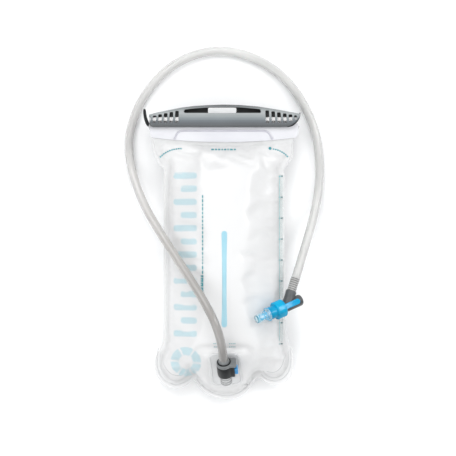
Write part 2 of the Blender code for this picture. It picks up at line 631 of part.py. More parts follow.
# the curve is read as a mesh so that its two ends can be opened over the barbs
guide = tube_curve("guide_tube", route, HOSE_OD / 2)
bpy.context.view_layer.update()
tube_mesh = bpy.data.meshes.new_from_object(guide.evaluated_get(bpy.context.evaluated_depsgraph_get()))
tube_mesh.name = "hose"
tube_mesh.materials.clear()
tube_mesh.materials.append(HOSE_MAT)
cutter(guide)
wb = bmesh.new()
wb.from_mesh(tube_mesh)
bmesh.ops.remove_doubles(wb, verts=wb.verts, dist=1e-6)
bmesh.ops.recalc_face_normals(wb, faces=wb.faces)
wb.to_mesh(tube_mesh)
wb.free()
tube_mesh.shade_smooth()
hose = bpy.data.objects.new("hose", tube_mesh)
bpy.context.scene.collection.objects.link(hose)
cut(hose, turned("cut_hose_in", [(-3, 0), (-3, HOSE_SOCKET_R), (16.5, HOSE_SOCKET_R), (16.5, 0)], TUBE_IN, PORT_A, HOSE_MAT, seg=16))
cut(hose, turned("cut_hose_out", [(-3, 0), (-3, HOSE_SOCKET_R), (16.5, HOSE_SOCKET_R), (16.5, 0)], TUBE_OUT, BRANCH_DIR, HOSE_MAT, seg=16))

# ---------------------------------------------------------------- drink valve
elbow = turned("valve_elbow", [(0, 0), (0, 5.0), (0.9, 6.0), (1.8, 6.25), (23.4, 6.25), (23.4, 4.6), (29.0, 4.6), (29.0, 3.8),
                               (30.8, 3.8), (30.8, 4.6), (40.6, 4.6), (40.6, 0)], VALVE_0, V_A, ELBOW)
cut(elbow, turned("cut_add_branch", [(0, 0), (0, 5.7), (BRANCH_LEN - 2.4, 5.7), (BRANCH_LEN - 2.0, 6.1), (BRANCH_LEN, 6.1),
                                     (BRANCH_LEN, BARB_R), (BRANCH_LEN + 14.0, BARB_R), (BRANCH_LEN + 15.4, 2.9),
                                     (BRANCH_LEN + 15.4, 0)], BRANCH, BRANCH_DIR, ELBOW), "UNION")
cut(elbow, turned("cut_elbow_way", [(BRANCH_AT - 2.0, 0), (BRANCH_AT - 2.0, 2.4), (50, 2.4), (50, 0)], VALVE_0, V_A, ELBOW, seg=16))
cut(elbow, turned("cut_branch_way", [(0, 0), (0, 2.2), (50, 2.2), (50, 0)], BRANCH, BRANCH_DIR, ELBOW, seg=16))
torus("valve_o_ring", VALVE_0 + V_A * 29.9, V_A, 4.38, 0.38, RUBBER, seg=24, sides=6)

ARM_UP, ARM_SIDE = axes_from(V_A, Vector((0, 0, 1)))
collar = turned("valve_collar", [(23.9, 4.9), (23.9, 9.6), (24.7, 10.2), (34.2, 10.2), (35.0, 9.6), (35.0, 6.95), (42.4, 6.95),
                                 (42.7, 6.6), (42.7, 4.9)], VALVE_0, V_A, VALVE_BLUE, seg=32)
cut(collar, box("cut_add_arm", (-3.0, 6.6, 5.4), (3.0, 8.7, 26.0), VALVE_BLUE, (VALVE_0, ARM_SIDE, ARM_UP, V_A)), "UNION")

turned("valve_core", [(41.0, 2.3), (41.0, 4.5), (42.4, 4.5), (42.4, 3.3), (53.5, 3.3), (54.2, 2.7), (54.2, 1.6), (43.2, 1.6)],
       VALVE_0, V_A, CLEAR)
turned("bite_sheath", [(43.0, 3.6), (43.0, 7.5), (43.5, 7.8), (45.9, 7.8), (46.4, 7.4), (47.4, 4.9), (49.6, 4.7), (51.0, 5.0),
                       (55.5, 5.2), (58.2, 4.7), (59.4, 3.4), (59.4, 1.0), (56.5, 1.0), (55.0, 3.6)], VALVE_0, V_A, SHEATH)
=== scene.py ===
"""Looks of the hydration bladder: film, closure, tube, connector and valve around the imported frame."""

import math

import bmesh
import bpy
import numpy as np
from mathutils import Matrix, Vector
from mathutils.geometry import delaunay_2d_cdt


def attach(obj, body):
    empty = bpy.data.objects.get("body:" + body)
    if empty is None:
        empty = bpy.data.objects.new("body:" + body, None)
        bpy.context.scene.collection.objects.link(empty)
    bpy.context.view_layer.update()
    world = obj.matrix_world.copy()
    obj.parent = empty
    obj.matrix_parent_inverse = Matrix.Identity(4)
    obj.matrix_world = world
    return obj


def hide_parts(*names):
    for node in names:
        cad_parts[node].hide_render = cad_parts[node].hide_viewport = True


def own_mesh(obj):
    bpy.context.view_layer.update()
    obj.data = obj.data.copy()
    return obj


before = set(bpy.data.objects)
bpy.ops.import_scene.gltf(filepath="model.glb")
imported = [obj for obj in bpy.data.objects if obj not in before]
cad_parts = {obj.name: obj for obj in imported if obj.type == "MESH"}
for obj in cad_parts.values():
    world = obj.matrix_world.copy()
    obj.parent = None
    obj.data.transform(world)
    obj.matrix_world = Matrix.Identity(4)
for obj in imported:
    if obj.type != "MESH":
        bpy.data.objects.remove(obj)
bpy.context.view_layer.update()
scene = bpy.context.scene
MM = 0.001

# ------------------------------------------------------------------ design numbers shared with the CAD (mm)
FILM, SEAM_GAP, BAG_TOP_Z = 0.8, 0.3, 60.0
SEAM_Z_TOP, SEAM_Z_BODY, SEAM_Z_FOOT = 30.0, 20.0, 14.0
PORT_C = Vector((1.7, -132.2, 51.0))
PORT_A = Vector((-0.09, 0.74, 0.667)).normalized()
VALVE_0 = Vector((84.4, -51.5, 37.5))
VALVE_1 = Vector((35.3, -72.4, 62.9))
BRANCH_AT, BRANCH_LEN = 19.5, 17.6
BRANCH_DIR = Vector((0.314, 0.925, -0.208)).normalized()
AXIS_LIFT = 10.6
GAP = 0.3
V_A = (VALVE_1 - VALVE_0).normalized()


def axes_from(a, hint):
    a = a.normalized()
    s = (hint - a * hint.dot(a)).normalized()
    return s, a.cross(s).normalized()


PORT_S, _ = axes_from(PORT_A, Vector((1, 0, 0)))
PORT_N = PORT_S.cross(PORT_A)
BRANCH = VALVE_0 + V_A * BRANCH_AT
TUBE_IN = PORT_C + PORT_A * (18.8 + GAP)
TUBE_OUT = BRANCH + BRANCH_DIR * (BRANCH_LEN + GAP)
ARM_UP, ARM_SIDE = axes_from(V_A, Vector((0, 0, 1)))

# ------------------------------------------------------------------ camera, light, floor
CAM_AT = Vector((4.4, 26.95, 2500.0)) * MM
cam_data = bpy.data.cameras.new("camera")
cam_data.sensor_width = 36.0
cam_data.lens = 36.0 * 2470.0 / 501.6
cam_data.clip_end = 20.0
cam = bpy.data.objects.new("camera", cam_data)
cam.location = CAM_AT
scene.collection.objects.link(cam)
scene.camera = cam

scene.view_settings.view_transform = "Standard"
scene.view_settings.look = "None"
scene.view_settings.exposure = 0.0
scene.view_settings.gamma = 1.0


def nodes_of(mat):
    return mat.node_tree.nodes, mat.node_tree.links


world = bpy.data.worlds.new("studio")
scene.world = world
world.use_nodes = True
wn, wl = world.node_tree.nodes, world.node_tree.links
w_tc, w_sx, w_cr, w_my, w_mul = (wn.new(k) for k in ("ShaderNodeTexCoord", "ShaderNodeSeparateXYZ", "ShaderNodeValToRGB", "ShaderNodeMapRange", "ShaderNodeMath"))
w_cr.color_ramp.elements[0].position, w_cr.color_ramp.elements[0].color = 0.0, (0.34, 0.345, 0.35, 1)
w_cr.color_ramp.elements[1].position, w_cr.color_ramp.elements[1].color = 1.0, (1.0, 1.0, 1.0, 1)
w_e = w_cr.color_ramp.elements.new(0.32)
w_e.color = (0.48, 0.485, 0.49, 1)
w_e = w_cr.color_ramp.elements.new(0.72)
w_e.color = (0.96, 0.965, 0.97, 1)
w_my.inputs["From Min"].default_value, w_my.inputs["From Max"].default_value = -1.0, 1.0
w_my.inputs["To Min"].default_value, w_my.inputs["To Max"].default_value = 0.86, 1.36
w_mul.operation = "MULTIPLY"
w_mul.inputs[1].default_value = 0.98
wl.new(w_tc.outputs["Generated"], w_sx.inputs["Vector"])
wl.new(w_sx.outputs["Z"], w_cr.inputs["Fac"])
wl.new(w_sx.outputs["Y"], w_my.inputs["Value"])
wl.new(w_my.outputs["Result"], w_mul.inputs[0])
wl.new(w_cr.outputs["Color"], wn["Background"].inputs["Color"])
wl.new(w_mul.outputs["Value"], wn["Background"].inputs["Strength"])


def area(name, at, target, size, watts, color=(1, 1, 1)):
    ld = bpy.data.lights.new(name, "AREA")
    ld.shape = "RECTANGLE"
    ld.size, ld.size_y = size
    ld.energy = watts
    ld.color = color
    ob = bpy.data.objects.new(name, ld)
    ob.location = at
    ob.rotation_euler = (Vector(target) - Vector(at)).to_track_quat("-Z", "Y").to_euler()
    scene.collection.objects.link(ob)
    return ob


area("key", (-0.30, 1.05, 1.30), (0, 0.0, 0.03), (1.2, 0.7), 8.0)
area("foot_fill", (-0.75, -1.05, 1.10), (0, -0.05, 0.03), (1.3, 0.9), 8.0)
area("side", (1.28, 0.54, 1.13), (0.05, -0.03, 0.04), (0.55, 0.55), 6.5)

# ------------------------------------------------------------------ materials


def principled(name, color, rough, metal=0.0, **inputs):
    m = bpy.data.materials.new(name)
    m.use_nodes = True
    p = m.node_tree.nodes["Principled BSDF"]
    p.inputs["Base Color"].default_value = (*color, 1)
    p.inputs["Roughness"].default_value = rough
    p.inputs["Metallic"].default_value = metal
    for k, v in inputs.items():
        p.inputs[k.replace("_", " ")].default_value = v
    return m, p


def noise_bump(m, p, scale, strength, distance=0.0002, detail=3.0, coords="Object", stretch=None):
    n, l = nodes_of(m)
    tc = n.new("ShaderNodeTexCoord")
    mp = n.new("ShaderNodeMapping")
    if stretch:
        mp.inputs["Scale"].default_value = stretch
    ns = n.new("ShaderNodeTexNoise")
    ns.inputs["Scale"].default_value = scale
    ns.inputs["Detail"].default_value = detail
    b = n.new("ShaderNodeBump")
    b.inputs["Strength"].default_value = strength
    b.inputs["Distance"].default_value = distance
    l.new(tc.outputs[coords], mp.inputs["Vector"])
    l.new(mp.outputs["Vector"], ns.inputs["Vector"])
    l.new(ns.outputs["Fac"], b.inputs["Height"])
    l.new(b.outputs["Normal"], p.inputs["Normal"])
    return mp, ns, b


def vary_color(m, p, a, b, scale, coords="Object", lo=0.35, hi=0.65, detail=4.0, rough=None):
    """Slow colour change between two tones, and optionally a roughness change with it."""
    n, l = nodes_of(m)
    tc = n.new("ShaderNodeTexCoord")
    ns = n.new("ShaderNodeTexNoise")
    ns.inputs["Scale"].default_value = scale
    ns.inputs["Detail"].default_value = detail
    cr = n.new("ShaderNodeValToRGB")
    cr.color_ramp.elements[0].position = lo
    cr.color_ramp.elements[1].position = hi
    cr.color_ramp.elements[0].color = (*a, 1)
    cr.color_ramp.elements[1].color = (*b, 1)
    l.new(tc.outputs[coords], ns.inputs["Vector"])
    l.new(ns.outputs["Fac"], cr.inputs["Fac"])
    l.new(cr.outputs["Color"], p.inputs["Base Color"])
    if rough:
        mr = n.new("ShaderNodeMapRange")
        mr.inputs["From Min"].default_value = 0.3
        mr.inputs["From Max"].default_value = 0.7
        mr.inputs["To Min"].default_value = rough[0]
        mr.inputs["To Max"].default_value = rough[1]
        l.new(ns.outputs["Fac"], mr.inputs["Value"])
        l.new(mr.outputs["Result"], p.inputs["Roughness"])
    return cr


def film_material(name, tone_mid, tone_edge, alpha_mid, alpha_weld, rough=0.32):
    """Milky film: denser where it is full, clearer in the weld, with a faint grain, and painted shade along its length:
    darker under the closure band and a little darker at the foot.
    """
    m, p = principled(name, tone_mid, rough)
    p.inputs["Coat Weight"].default_value = 0.2
    p.inputs["Coat Roughness"].default_value = 0.2
    n, l = nodes_of(m)
    at = n.new("ShaderNodeAttribute")
    at.attribute_name = "fill"
    cr = n.new("ShaderNodeValToRGB")
    e = cr.color_ramp.elements
    e[0].position, e[1].position = 0.0, 0.62
    e[0].color, e[1].color = (*tone_edge, 1), (*tone_mid, 1)
    tc = n.new("ShaderNodeTexCoord")
    ns = n.new("ShaderNodeTexNoise")
    ns.inputs["Scale"].default_value = 14.0
    ns.inputs["Detail"].default_value = 5.0
    mr2 = n.new("ShaderNodeMapRange")
    mr2.inputs["From Min"].default_value = 0.3
    mr2.inputs["From Max"].default_value = 0.7
    mr2.inputs["To Min"].default_value = 0.965
    mr2.inputs["To Max"].default_value = 1.0
    mul = n.new("ShaderNodeMix")
    mul.data_type = "RGBA"
    mul.blend_type = "MULTIPLY"
    mul.inputs["Factor"].default_value = 1.0
    l.new(tc.outputs["Object"], ns.inputs["Vector"])
    l.new(ns.outputs["Fac"], mr2.inputs["Value"])
    l.new(at.outputs["Fac"], cr.inputs["Fac"])
    l.new(cr.outputs["Color"], mul.inputs["A"])
    l.new(mr2.outputs["Result"], mul.inputs["B"])
    # painted shade: the film's colour darkened towards the top under the closure band, and a little towards the foot
    sep = n.new("ShaderNodeSeparateXYZ")
    along = n.new("ShaderNodeMapRange")
    along.inputs["From Min"].default_value = -0.165
    along.inputs["From Max"].default_value = 0.145
    painted_shade_ramp = n.new("ShaderNodeValToRGB")
    se = painted_shade_ramp.color_ramp.elements
    se[0].position, se[0].color = 0.0, (0.965, 0.965, 0.965, 1)
    se[1].position, se[1].color = 1.0, (0.83, 0.835, 0.835, 1)
    for pos, v in ((0.16, 0.97), (0.45, 1.0), (0.72, 0.97), (0.86, 0.935)):
        q = se.new(pos)
        q.color = (v, v, v, 1)
    painted_shade_mix = n.new("ShaderNodeMix")
    painted_shade_mix.data_type = "RGBA"
    painted_shade_mix.blend_type = "MULTIPLY"
    painted_shade_mix.inputs["Factor"].default_value = 1.0
    l.new(tc.outputs["Object"], sep.inputs["Vector"])
    l.new(sep.outputs["Y"], along.inputs["Value"])
    l.new(along.outputs["Result"], painted_shade_ramp.inputs["Fac"])
    l.new(mul.outputs["Result"], painted_shade_mix.inputs["A"])
    l.new(painted_shade_ramp.outputs["Color"], painted_shade_mix.inputs["B"])
    l.new(painted_shade_mix.outputs["Result"], p.inputs["Base Color"])
    mr = n.new("ShaderNodeMapRange")
    mr.inputs["From Min"].default_value = 0.0
    mr.inputs["From Max"].default_value = 0.25
    mr.inputs["To Min"].default_value = alpha_weld
    mr.inputs["To Max"].default_value = alpha_mid
    l.new(at.outputs["Fac"], mr.inputs["Value"])
    l.new(mr.outputs["Result"], p.inputs["Alpha"])
    fine = n.new("ShaderNodeTexNoise")
    fine.inputs["Scale"].default_value = 900.0
    fine.inputs["Detail"].default_value = 2.0
    b = n.new("ShaderNodeBump")
    b.inputs["Strength"].default_value = 0.12
    b.inputs["Distance"].default_value = 0.00015
    l.new(tc.outputs["Object"], fine.inputs["Vector"])
    l.new(fine.outputs["Fac"], b.inputs["Height"])
    l.new(b.outputs["Normal"], p.inputs["Normal"])
    return m


M_FILM = film_material("film_front", (0.915, 0.917, 0.92), (0.91, 0.912, 0.915), 0.68, 0.42)
M_REAR = film_material("film_rear", (0.925, 0.927, 0.93), (0.93, 0.932, 0.935), 0.64, 0.42)

M_RAIL, _p = principled("frosted_rail", (0.78, 0.785, 0.82), 0.42, Alpha=0.78)
vary_color(M_RAIL, _p, (0.75, 0.755, 0.80), (0.81, 0.815, 0.85), 22.0)
noise_bump(M_RAIL, _p, 700.0, 0.15, 0.0001)
M_BEAD, _p = principled("frosted_bead", (0.97, 0.97, 0.975), 0.3)
vary_color(M_BEAD, _p, (0.95, 0.95, 0.955), (0.985, 0.985, 0.985), 50.0)
M_EMBOSS, _p = principled("embossed_line", (0.56, 0.56, 0.62), 0.4, Alpha=0.9)
vary_color(M_EMBOSS, _p, (0.53, 0.53, 0.59), (0.60, 0.60, 0.66), 60.0)

M_STRIP, _p = principled("baffle_blue", (0.04, 0.52, 0.78), 0.3)
vary_color(M_STRIP, _p, (0.02, 0.49, 0.75), (0.06, 0.57, 0.83), 40.0)
noise_bump(M_STRIP, _p, 300.0, 0.1, 0.0001, stretch=(1, 0.05, 1))



def slider_material():
    """Satin grey with painted light: a painted highlight along the crown below the slot, and painted shade towards the
    top edge and the lower lip.
    """
    m, p = principled("slider_grey", (0.2, 0.22, 0.23), 0.34)
    n, l = nodes_of(m)
    tc = n.new("ShaderNodeTexCoord")
    sx = n.new("ShaderNodeSeparateXYZ")
    # painted highlight and shade by height: palest just below the slot, darkest at the lower lip and the top edge
    mr = n.new("ShaderNodeMapRange")
    mr.inputs["From Min"].default_value = 0.1386
    mr.inputs["From Max"].default_value = 0.1625
    cr = n.new("ShaderNodeValToRGB")
    cr.color_ramp.interpolation = "EASE"
    el = cr.color_ramp.elements
    el[0].position, el[0].color = 0.0, (0.095, 0.102, 0.106, 1)
    el[1].position, el[1].color = 1.0, (0.07, 0.075, 0.078, 1)
    for pos, c in ((0.12, (0.102, 0.112, 0.122)), (0.24, (0.128, 0.146, 0.160)), (0.34, (0.19, 0.215, 0.228)), (0.46, (0.26, 0.285, 0.292)),
                   (0.58, (0.31, 0.33, 0.335)), (0.78, (0.25, 0.27, 0.275)), (0.91, (0.15, 0.162, 0.167))):
        e = el.new(pos)
        e.color = (*c, 1)
    ns = n.new("ShaderNodeTexNoise")
    ns.inputs["Scale"].default_value = 26.0
    ns.inputs["Detail"].default_value = 5.0
    nr = n.new("ShaderNodeMapRange")
    nr.inputs["From Min"].default_value = 0.3
    nr.inputs["From Max"].default_value = 0.7
    nr.inputs["To Min"].default_value = 0.93
    nr.inputs["To Max"].default_value = 1.05
    mul = n.new("ShaderNodeMix")
    mul.data_type = "RGBA"
    mul.blend_type = "MULTIPLY"
    mul.inputs["Factor"].default_value = 1.0
    l.new(tc.outputs["Object"], sx.inputs["Vector"])
    l.new(sx.outputs["Y"], mr.inputs["Value"])
    l.new(mr.outputs["Result"], cr.inputs["Fac"])
    l.new(tc.outputs["Object"], ns.inputs["Vector"])
    l.new(ns.outputs["Fac"], nr.inputs["Value"])
    l.new(cr.outputs["Color"], mul.inputs["A"])
    l.new(nr.outputs["Result"], mul.inputs["B"])
    l.new(mul.outputs["Result"], p.inputs["Base Color"])
    noise_bump(m, p, 1600.0, 0.2, 0.00012)
    return m


M_GREY = slider_material()
# painted shade: near-black colour for the slider's faces inside its windows, recess, slot and channel
M_SLIDER_SHADE, _p = principled("slider_inside_shade", (0.02, 0.023, 0.024), 0.5)
vary_color(M_SLIDER_SHADE, _p, (0.015, 0.017, 0.018), (0.03, 0.033, 0.034), 60.0)

M_BLACK, _p = principled("soft_black", (0.008, 0.009, 0.010), 0.42)
_p.inputs["Specular IOR Level"].default_value = 0.22
vary_color(M_BLACK, _p, (0.006, 0.007, 0.008), (0.012, 0.013, 0.014), 80.0, rough=(0.36, 0.5))
noise_bump(M_BLACK, _p, 1800.0, 0.2, 0.0001)
M_CONN, _p = principled("connector_black", (0.016, 0.018, 0.019), 0.36)
_p.inputs["Specular IOR Level"].default_value = 0.3
vary_color(M_CONN, _p, (0.013, 0.0145, 0.0155), (0.022, 0.024, 0.025), 90.0, rough=(0.3, 0.42))
noise_bump(M_CONN, _p, 1900.0, 0.2, 0.0001)
M_CAP, _p = principled("cap_grey", (0.17, 0.18, 0.185), 0.34)
_p.inputs["Specular IOR Level"].default_value = 0.4
vary_color(M_CAP, _p, (0.15, 0.16, 0.165), (0.19, 0.20, 0.205), 90.0, rough=(0.28, 0.4))
noise_bump(M_CAP, _p, 1900.0, 0.18, 0.0001)
M_BTN, _p = principled("button_blue", (0.04, 0.24, 0.52), 0.25)
vary_color(M_BTN, _p, (0.035, 0.21, 0.48), (0.06, 0.30, 0.60), 120.0)
_p.inputs["Coat Weight"].default_value = 0.3
M_ELBOW, _p = principled("elbow_grey", (0.06, 0.065, 0.068), 0.34)
_p.inputs["Specular IOR Level"].default_value = 0.4
vary_color(M_ELBOW, _p, (0.05, 0.055, 0.058), (0.08, 0.086, 0.09), 70.0, rough=(0.28, 0.4))
noise_bump(M_ELBOW, _p, 1500.0, 0.25, 0.00012)
M_BLUE, _p = principled("valve_blue", (0.0, 0.32, 0.57), 0.14)
vary_color(M_BLUE, _p, (0.0, 0.27, 0.52), (0.0, 0.37, 0.62), 60.0)
_p.inputs["Specular IOR Level"].default_value = 0.3
M_CLEAR, _p = principled("clear_plastic", (0.93, 0.94, 0.945), 0.14, Alpha=0.45)
vary_color(M_CLEAR, _p, (0.90, 0.91, 0.92), (0.95, 0.96, 0.965), 50.0)
_p.inputs["Coat Weight"].default_value = 0.4
M_SHEATH, _p = principled("bite_silicone", (0.45, 0.80, 0.94), 0.1, Alpha=0.3)
vary_color(M_SHEATH, _p, (0.25, 0.70, 0.90), (0.80, 0.95, 0.99), 190.0, lo=0.44, hi=0.56)
_p.inputs["Coat Weight"].default_value = 0.5
_p.inputs["Coat Roughness"].default_value = 0.06
M_CORE, _p = principled("valve_core_blue", (0.03, 0.42, 0.72), 0.2, Alpha=0.85)
vary_color(M_CORE, _p, (0.01, 0.36, 0.66), (0.08, 0.50, 0.80), 160.0)
M_STEEL, _p = principled("spring_steel", (0.62, 0.62, 0.64), 0.28, 1.0)
vary_color(M_STEEL, _p, (0.55, 0.55, 0.57), (0.70, 0.70, 0.72), 200.0)
M_RUBBER, _p = principled("o_ring_rubber", (0.015, 0.015, 0.015), 0.6)
vary_color(M_RUBBER, _p, (0.012, 0.012, 0.012), (0.022, 0.022, 0.022), 200.0)


def hatch_material(name, color, pitch, duty, alpha):
    """Printed ink laid down as fine slanting lines."""
    m, p = principled(name, color, 0.45)
    n, l = nodes_of(m)
    tc = n.new("ShaderNodeTexCoord")
    mp = n.new("ShaderNodeMapping")
    mp.inputs["Rotation"].default_value = (0, 0, math.radians(-48))
    sx = n.new("ShaderNodeSeparateXYZ")
    mul = n.new("ShaderNodeMath")
    mul.operation = "MULTIPLY"
    mul.inputs[1].default_value = 1.0 / pitch
    fr = n.new("ShaderNodeMath")
    fr.operation = "FRACT"
    lt = n.new("ShaderNodeMath")
    lt.operation = "LESS_THAN"
    lt.inputs[1].default_value = duty
    am = n.new("ShaderNodeMath")
    am.operation = "MULTIPLY"
    am.inputs[1].default_value = alpha
    l.new(tc.outputs["Object"], mp.inputs["Vector"])
    l.new(mp.outputs["Vector"], sx.inputs["Vector"])
    l.new(sx.outputs["X"], mul.inputs[0])
    l.new(mul.outputs["Value"], fr.inputs[0])
    l.new(fr.outputs["Value"], lt.inputs[0])
    l.new(lt.outputs["Value"], am.inputs[0])
    l.new(am.outputs["Value"], p.inputs["Alpha"])
    return m



def painted_shade_along(mat, p, axis, a, b, lo, hi):
    """Painted shade and light: a moulding's colour made darker towards one side and lighter towards the other."""
    n, l = nodes_of(mat)
    src = p.inputs["Base Color"].links[0].from_socket
    tc = n.new("ShaderNodeTexCoord")
    sep = n.new("ShaderNodeSeparateXYZ")
    mr = n.new("ShaderNodeMapRange")
    mr.interpolation_type = "SMOOTHSTEP"
    for key, v in (("From Min", a), ("From Max", b), ("To Min", lo), ("To Max", hi)):
        mr.inputs[key].default_value = v
    mul = n.new("ShaderNodeMix")
    mul.data_type = "RGBA"
    mul.blend_type = "MULTIPLY"
    mul.inputs["Factor"].default_value = 1.0
    l.new(tc.outputs["Object"], sep.inputs["Vector"])
    l.new(sep.outputs[axis], mr.inputs["Value"])
    l.new(src, mul.inputs["A"])
    l.new(mr.outputs["Result"], mul.inputs["B"])
    l.new(mul.outputs["Result"], p.inputs["Base Color"])


# painted shade and light: the elbow darker towards its +x end, the twist collar darker on its -y side and lighter on
# its +y side
painted_shade_along(M_ELBOW, M_ELBOW.node_tree.nodes["Principled BSDF"], "X", 0.086, 0.106, 1.25, 0.5)
painted_shade_along(M_BLUE, M_BLUE.node_tree.nodes["Principled BSDF"], "Y", -0.073, -0.052, 0.72, 1.12)

M_HATCH = hatch_material("print_hatch", (0.36, 0.70, 0.80), 0.0019, 0.56, 0.60)
M_TEAL, _p = principled("print_teal", (0.05, 0.30, 0.35), 0.5, Alpha=0.85)
vary_color(M_TEAL, _p, (0.04, 0.27, 0.32), (0.08, 0.35, 0.40), 150.0)
M_DOT, _p = principled("print_dark", (0.02, 0.10, 0.12), 0.5, Alpha=0.85)
vary_color(M_DOT, _p, (0.015, 0.08, 0.10), (0.03, 0.13, 0.15), 150.0)
M_TEAL_LT, _p = principled("print_pale", (0.22, 0.50, 0.54), 0.5, Alpha=0.6)
vary_color(M_TEAL_LT, _p, (0.18, 0.46, 0.50), (0.28, 0.55, 0.59), 150.0)
M_WELD, _p = principled("weld_line", (0.64, 0.65, 0.66), 0.3, Alpha=0.45)
vary_color(M_WELD, _p, (0.60, 0.61, 0.62), (0.74, 0.75, 0.76), 60.0)


def hose_material():
    m, p = principled("tube_clear", (0.80, 0.79, 0.77), 0.2)
    p.inputs["Transmission Weight"].default_value = 0.55
    p.inputs["IOR"].default_value = 1.46
    p.inputs["Coat Weight"].default_value = 0.5
    p.inputs["Coat Roughness"].default_value = 0.1
    n, l = nodes_of(m)
    # colour along the tube: palest over the top loop and darker towards both ends, most at the connector; over the
    # barbs this is the barb seen through the tube, further along it is painted shade
    at = n.new("ShaderNodeAttribute")
    at.attribute_name = "run"
    cr = n.new("ShaderNodeValToRGB")
    el = cr.color_ramp.elements
    el[0].position, el[0].color = 0.0, (0.48, 0.47, 0.46, 1)
    el[1].position, el[1].color = 1.0, (0.80, 0.80, 0.79, 1)
    for pos, c in ((0.10, (0.58, 0.56, 0.54)), (0.20, (0.72, 0.70, 0.68)), (0.30, (0.86, 0.85, 0.84)),
                   (0.60, (0.93, 0.93, 0.92)), (0.78, (0.86, 0.86, 0.85))):
        e = el.new(pos)
        e.color = (*c, 1)
    tc = n.new("ShaderNodeTexCoord")
    ns = n.new("ShaderNodeTexNoise")
    ns.inputs["Scale"].default_value = 35.0
    ns.inputs["Detail"].default_value = 3.0
    mr = n.new("ShaderNodeMapRange")
    mr.inputs["From Min"].default_value = 0.3
    mr.inputs["From Max"].default_value = 0.7
    mr.inputs["To Min"].default_value = 0.95
    mr.inputs["To Max"].default_value = 1.03
    mul = n.new("ShaderNodeMix")
    mul.data_type = "RGBA"
    mul.blend_type = "MULTIPLY"
    mul.inputs["Factor"].default_value = 1.0
    l.new(tc.outputs["Object"], ns.inputs["Vector"])
    l.new(ns.outputs["Fac"], mr.inputs["Value"])
    l.new(at.outputs["Fac"], cr.inputs["Fac"])
    l.new(cr.outputs["Color"], mul.inputs["A"])
    l.new(mr.outputs["Result"], mul.inputs["B"])
    # painted shade: the tube's colour darkened to a third in the grooves between the grip ripples
    groove_shade_attr = n.new("ShaderNodeAttribute")
    groove_shade_attr.attribute_name = "grip"
    groove_shade_map = n.new("ShaderNodeMapRange")
    groove_shade_map.inputs["To Min"].default_value = 1.0
    groove_shade_map.inputs["To Max"].default_value = 0.33
    mul2 = n.new("ShaderNodeMix")
    mul2.data_type = "RGBA"
    mul2.blend_type = "MULTIPLY"
    mul2.inputs["Factor"].default_value = 1.0
    l.new(groove_shade_attr.outputs["Fac"], groove_shade_map.inputs["Value"])
    l.new(mul.outputs["Result"], mul2.inputs["A"])
    l.new(groove_shade_map.outputs["Result"], mul2.inputs["B"])
    l.new(mul2.outputs["Result"], p.inputs["Base Color"])
    return m


M_HOSE = hose_material()

# the floor
fm, fp = principled("floor", (0.93, 0.935, 0.94), 0.9)
vary_color(fm, fp, (0.925, 0.93, 0.935), (0.935, 0.94, 0.945), 2.0)
fme = bpy.data.meshes.new("floor")
fme.from_pydata([(-4, -4, -0.0003), (4, -4, -0.0003), (4, 4, -0.0003), (-4, 4, -0.0003)], [], [(0, 1, 2, 3)])
floor = bpy.data.objects.new("floor", fme)
floor.data.materials.append(fm)
scene.collection.objects.link(floor)

# ------------------------------------------------------------------ mesh helpers


def add(name, verts, faces, mats, smooth=True, angle=35, recalc=True, scale=MM):
    me = bpy.data.meshes.new(name)
    me.from_pydata([tuple(c * scale for c in v) for v in verts], [], faces)
    if recalc:
        bm = bmesh.new()
        bm.from_mesh(me)
        bmesh.ops.recalc_face_normals(bm, faces=bm.faces)
        bm.to_mesh(me)
        bm.free()
    if smooth:
        me.shade_smooth()
        me.set_sharp_from_angle(angle=math.radians(angle))
    for m in mats if isinstance(mats, (list, tuple)) else [mats]:
        me.materials.append(m)
    ob = bpy.data.objects.new(name, me)
    scene.collection.objects.link(ob)
    return ob


def prism(name, outline, lo, hi, mat, fr=None, smooth=True):
    o, u, v, w = fr or (Vector((0, 0, 0)), Vector((1, 0, 0)), Vector((0, 1, 0)), Vector((0, 0, 1)))
    n = len(outline)
    verts = [o + u * p + v * q + w * h for h in (lo, hi) for p, q in outline]
    faces = [tuple(range(n))[::-1], tuple(range(n, 2 * n))]
    faces += [(i, (i + 1) % n, n + (i + 1) % n, n + i) for i in range(n)]
    return add(name, verts, faces, mat, smooth)


def turned(name, profile, origin, axis, mat, hint=Vector((0, 0, 1)), seg=72, wobble=None):
    """Turn (t, r) points about an axis; wobble(t, r, angle) may change the radius for ribs."""
    s, c = axes_from(axis, hint)
    a = axis.normalized()
    verts, rings = [], []
    for t, r in profile:
        if r == 0:
            rings.append([len(verts)])
            verts.append(origin + a * t)
        else:
            rings.append(list(range(len(verts), len(verts) + seg)))
            for k in range(seg):
                f = 2 * math.pi * k / seg
                q = wobble(t, r, f) if wobble else r
                verts.append(origin + a * t + s * (q * math.cos(f)) + c * (q * math.sin(f)))
    faces = []
    pairs = list(zip(rings, rings[1:]))
    if len(rings[0]) > 1:
        pairs.append((rings[-1], rings[0]))
    for p, q in pairs:
        for k in range(seg):
            k2 = (k + 1) % seg
            if len(p) == 1:
                faces.append((p[0], q[k2], q[k]))
            elif len(q) == 1:
                faces.append((p[k], p[k2], q[0]))
            else:
                faces.append((p[k], p[k2], q[k2], q[k]))
    return add(name, verts, faces, mat)


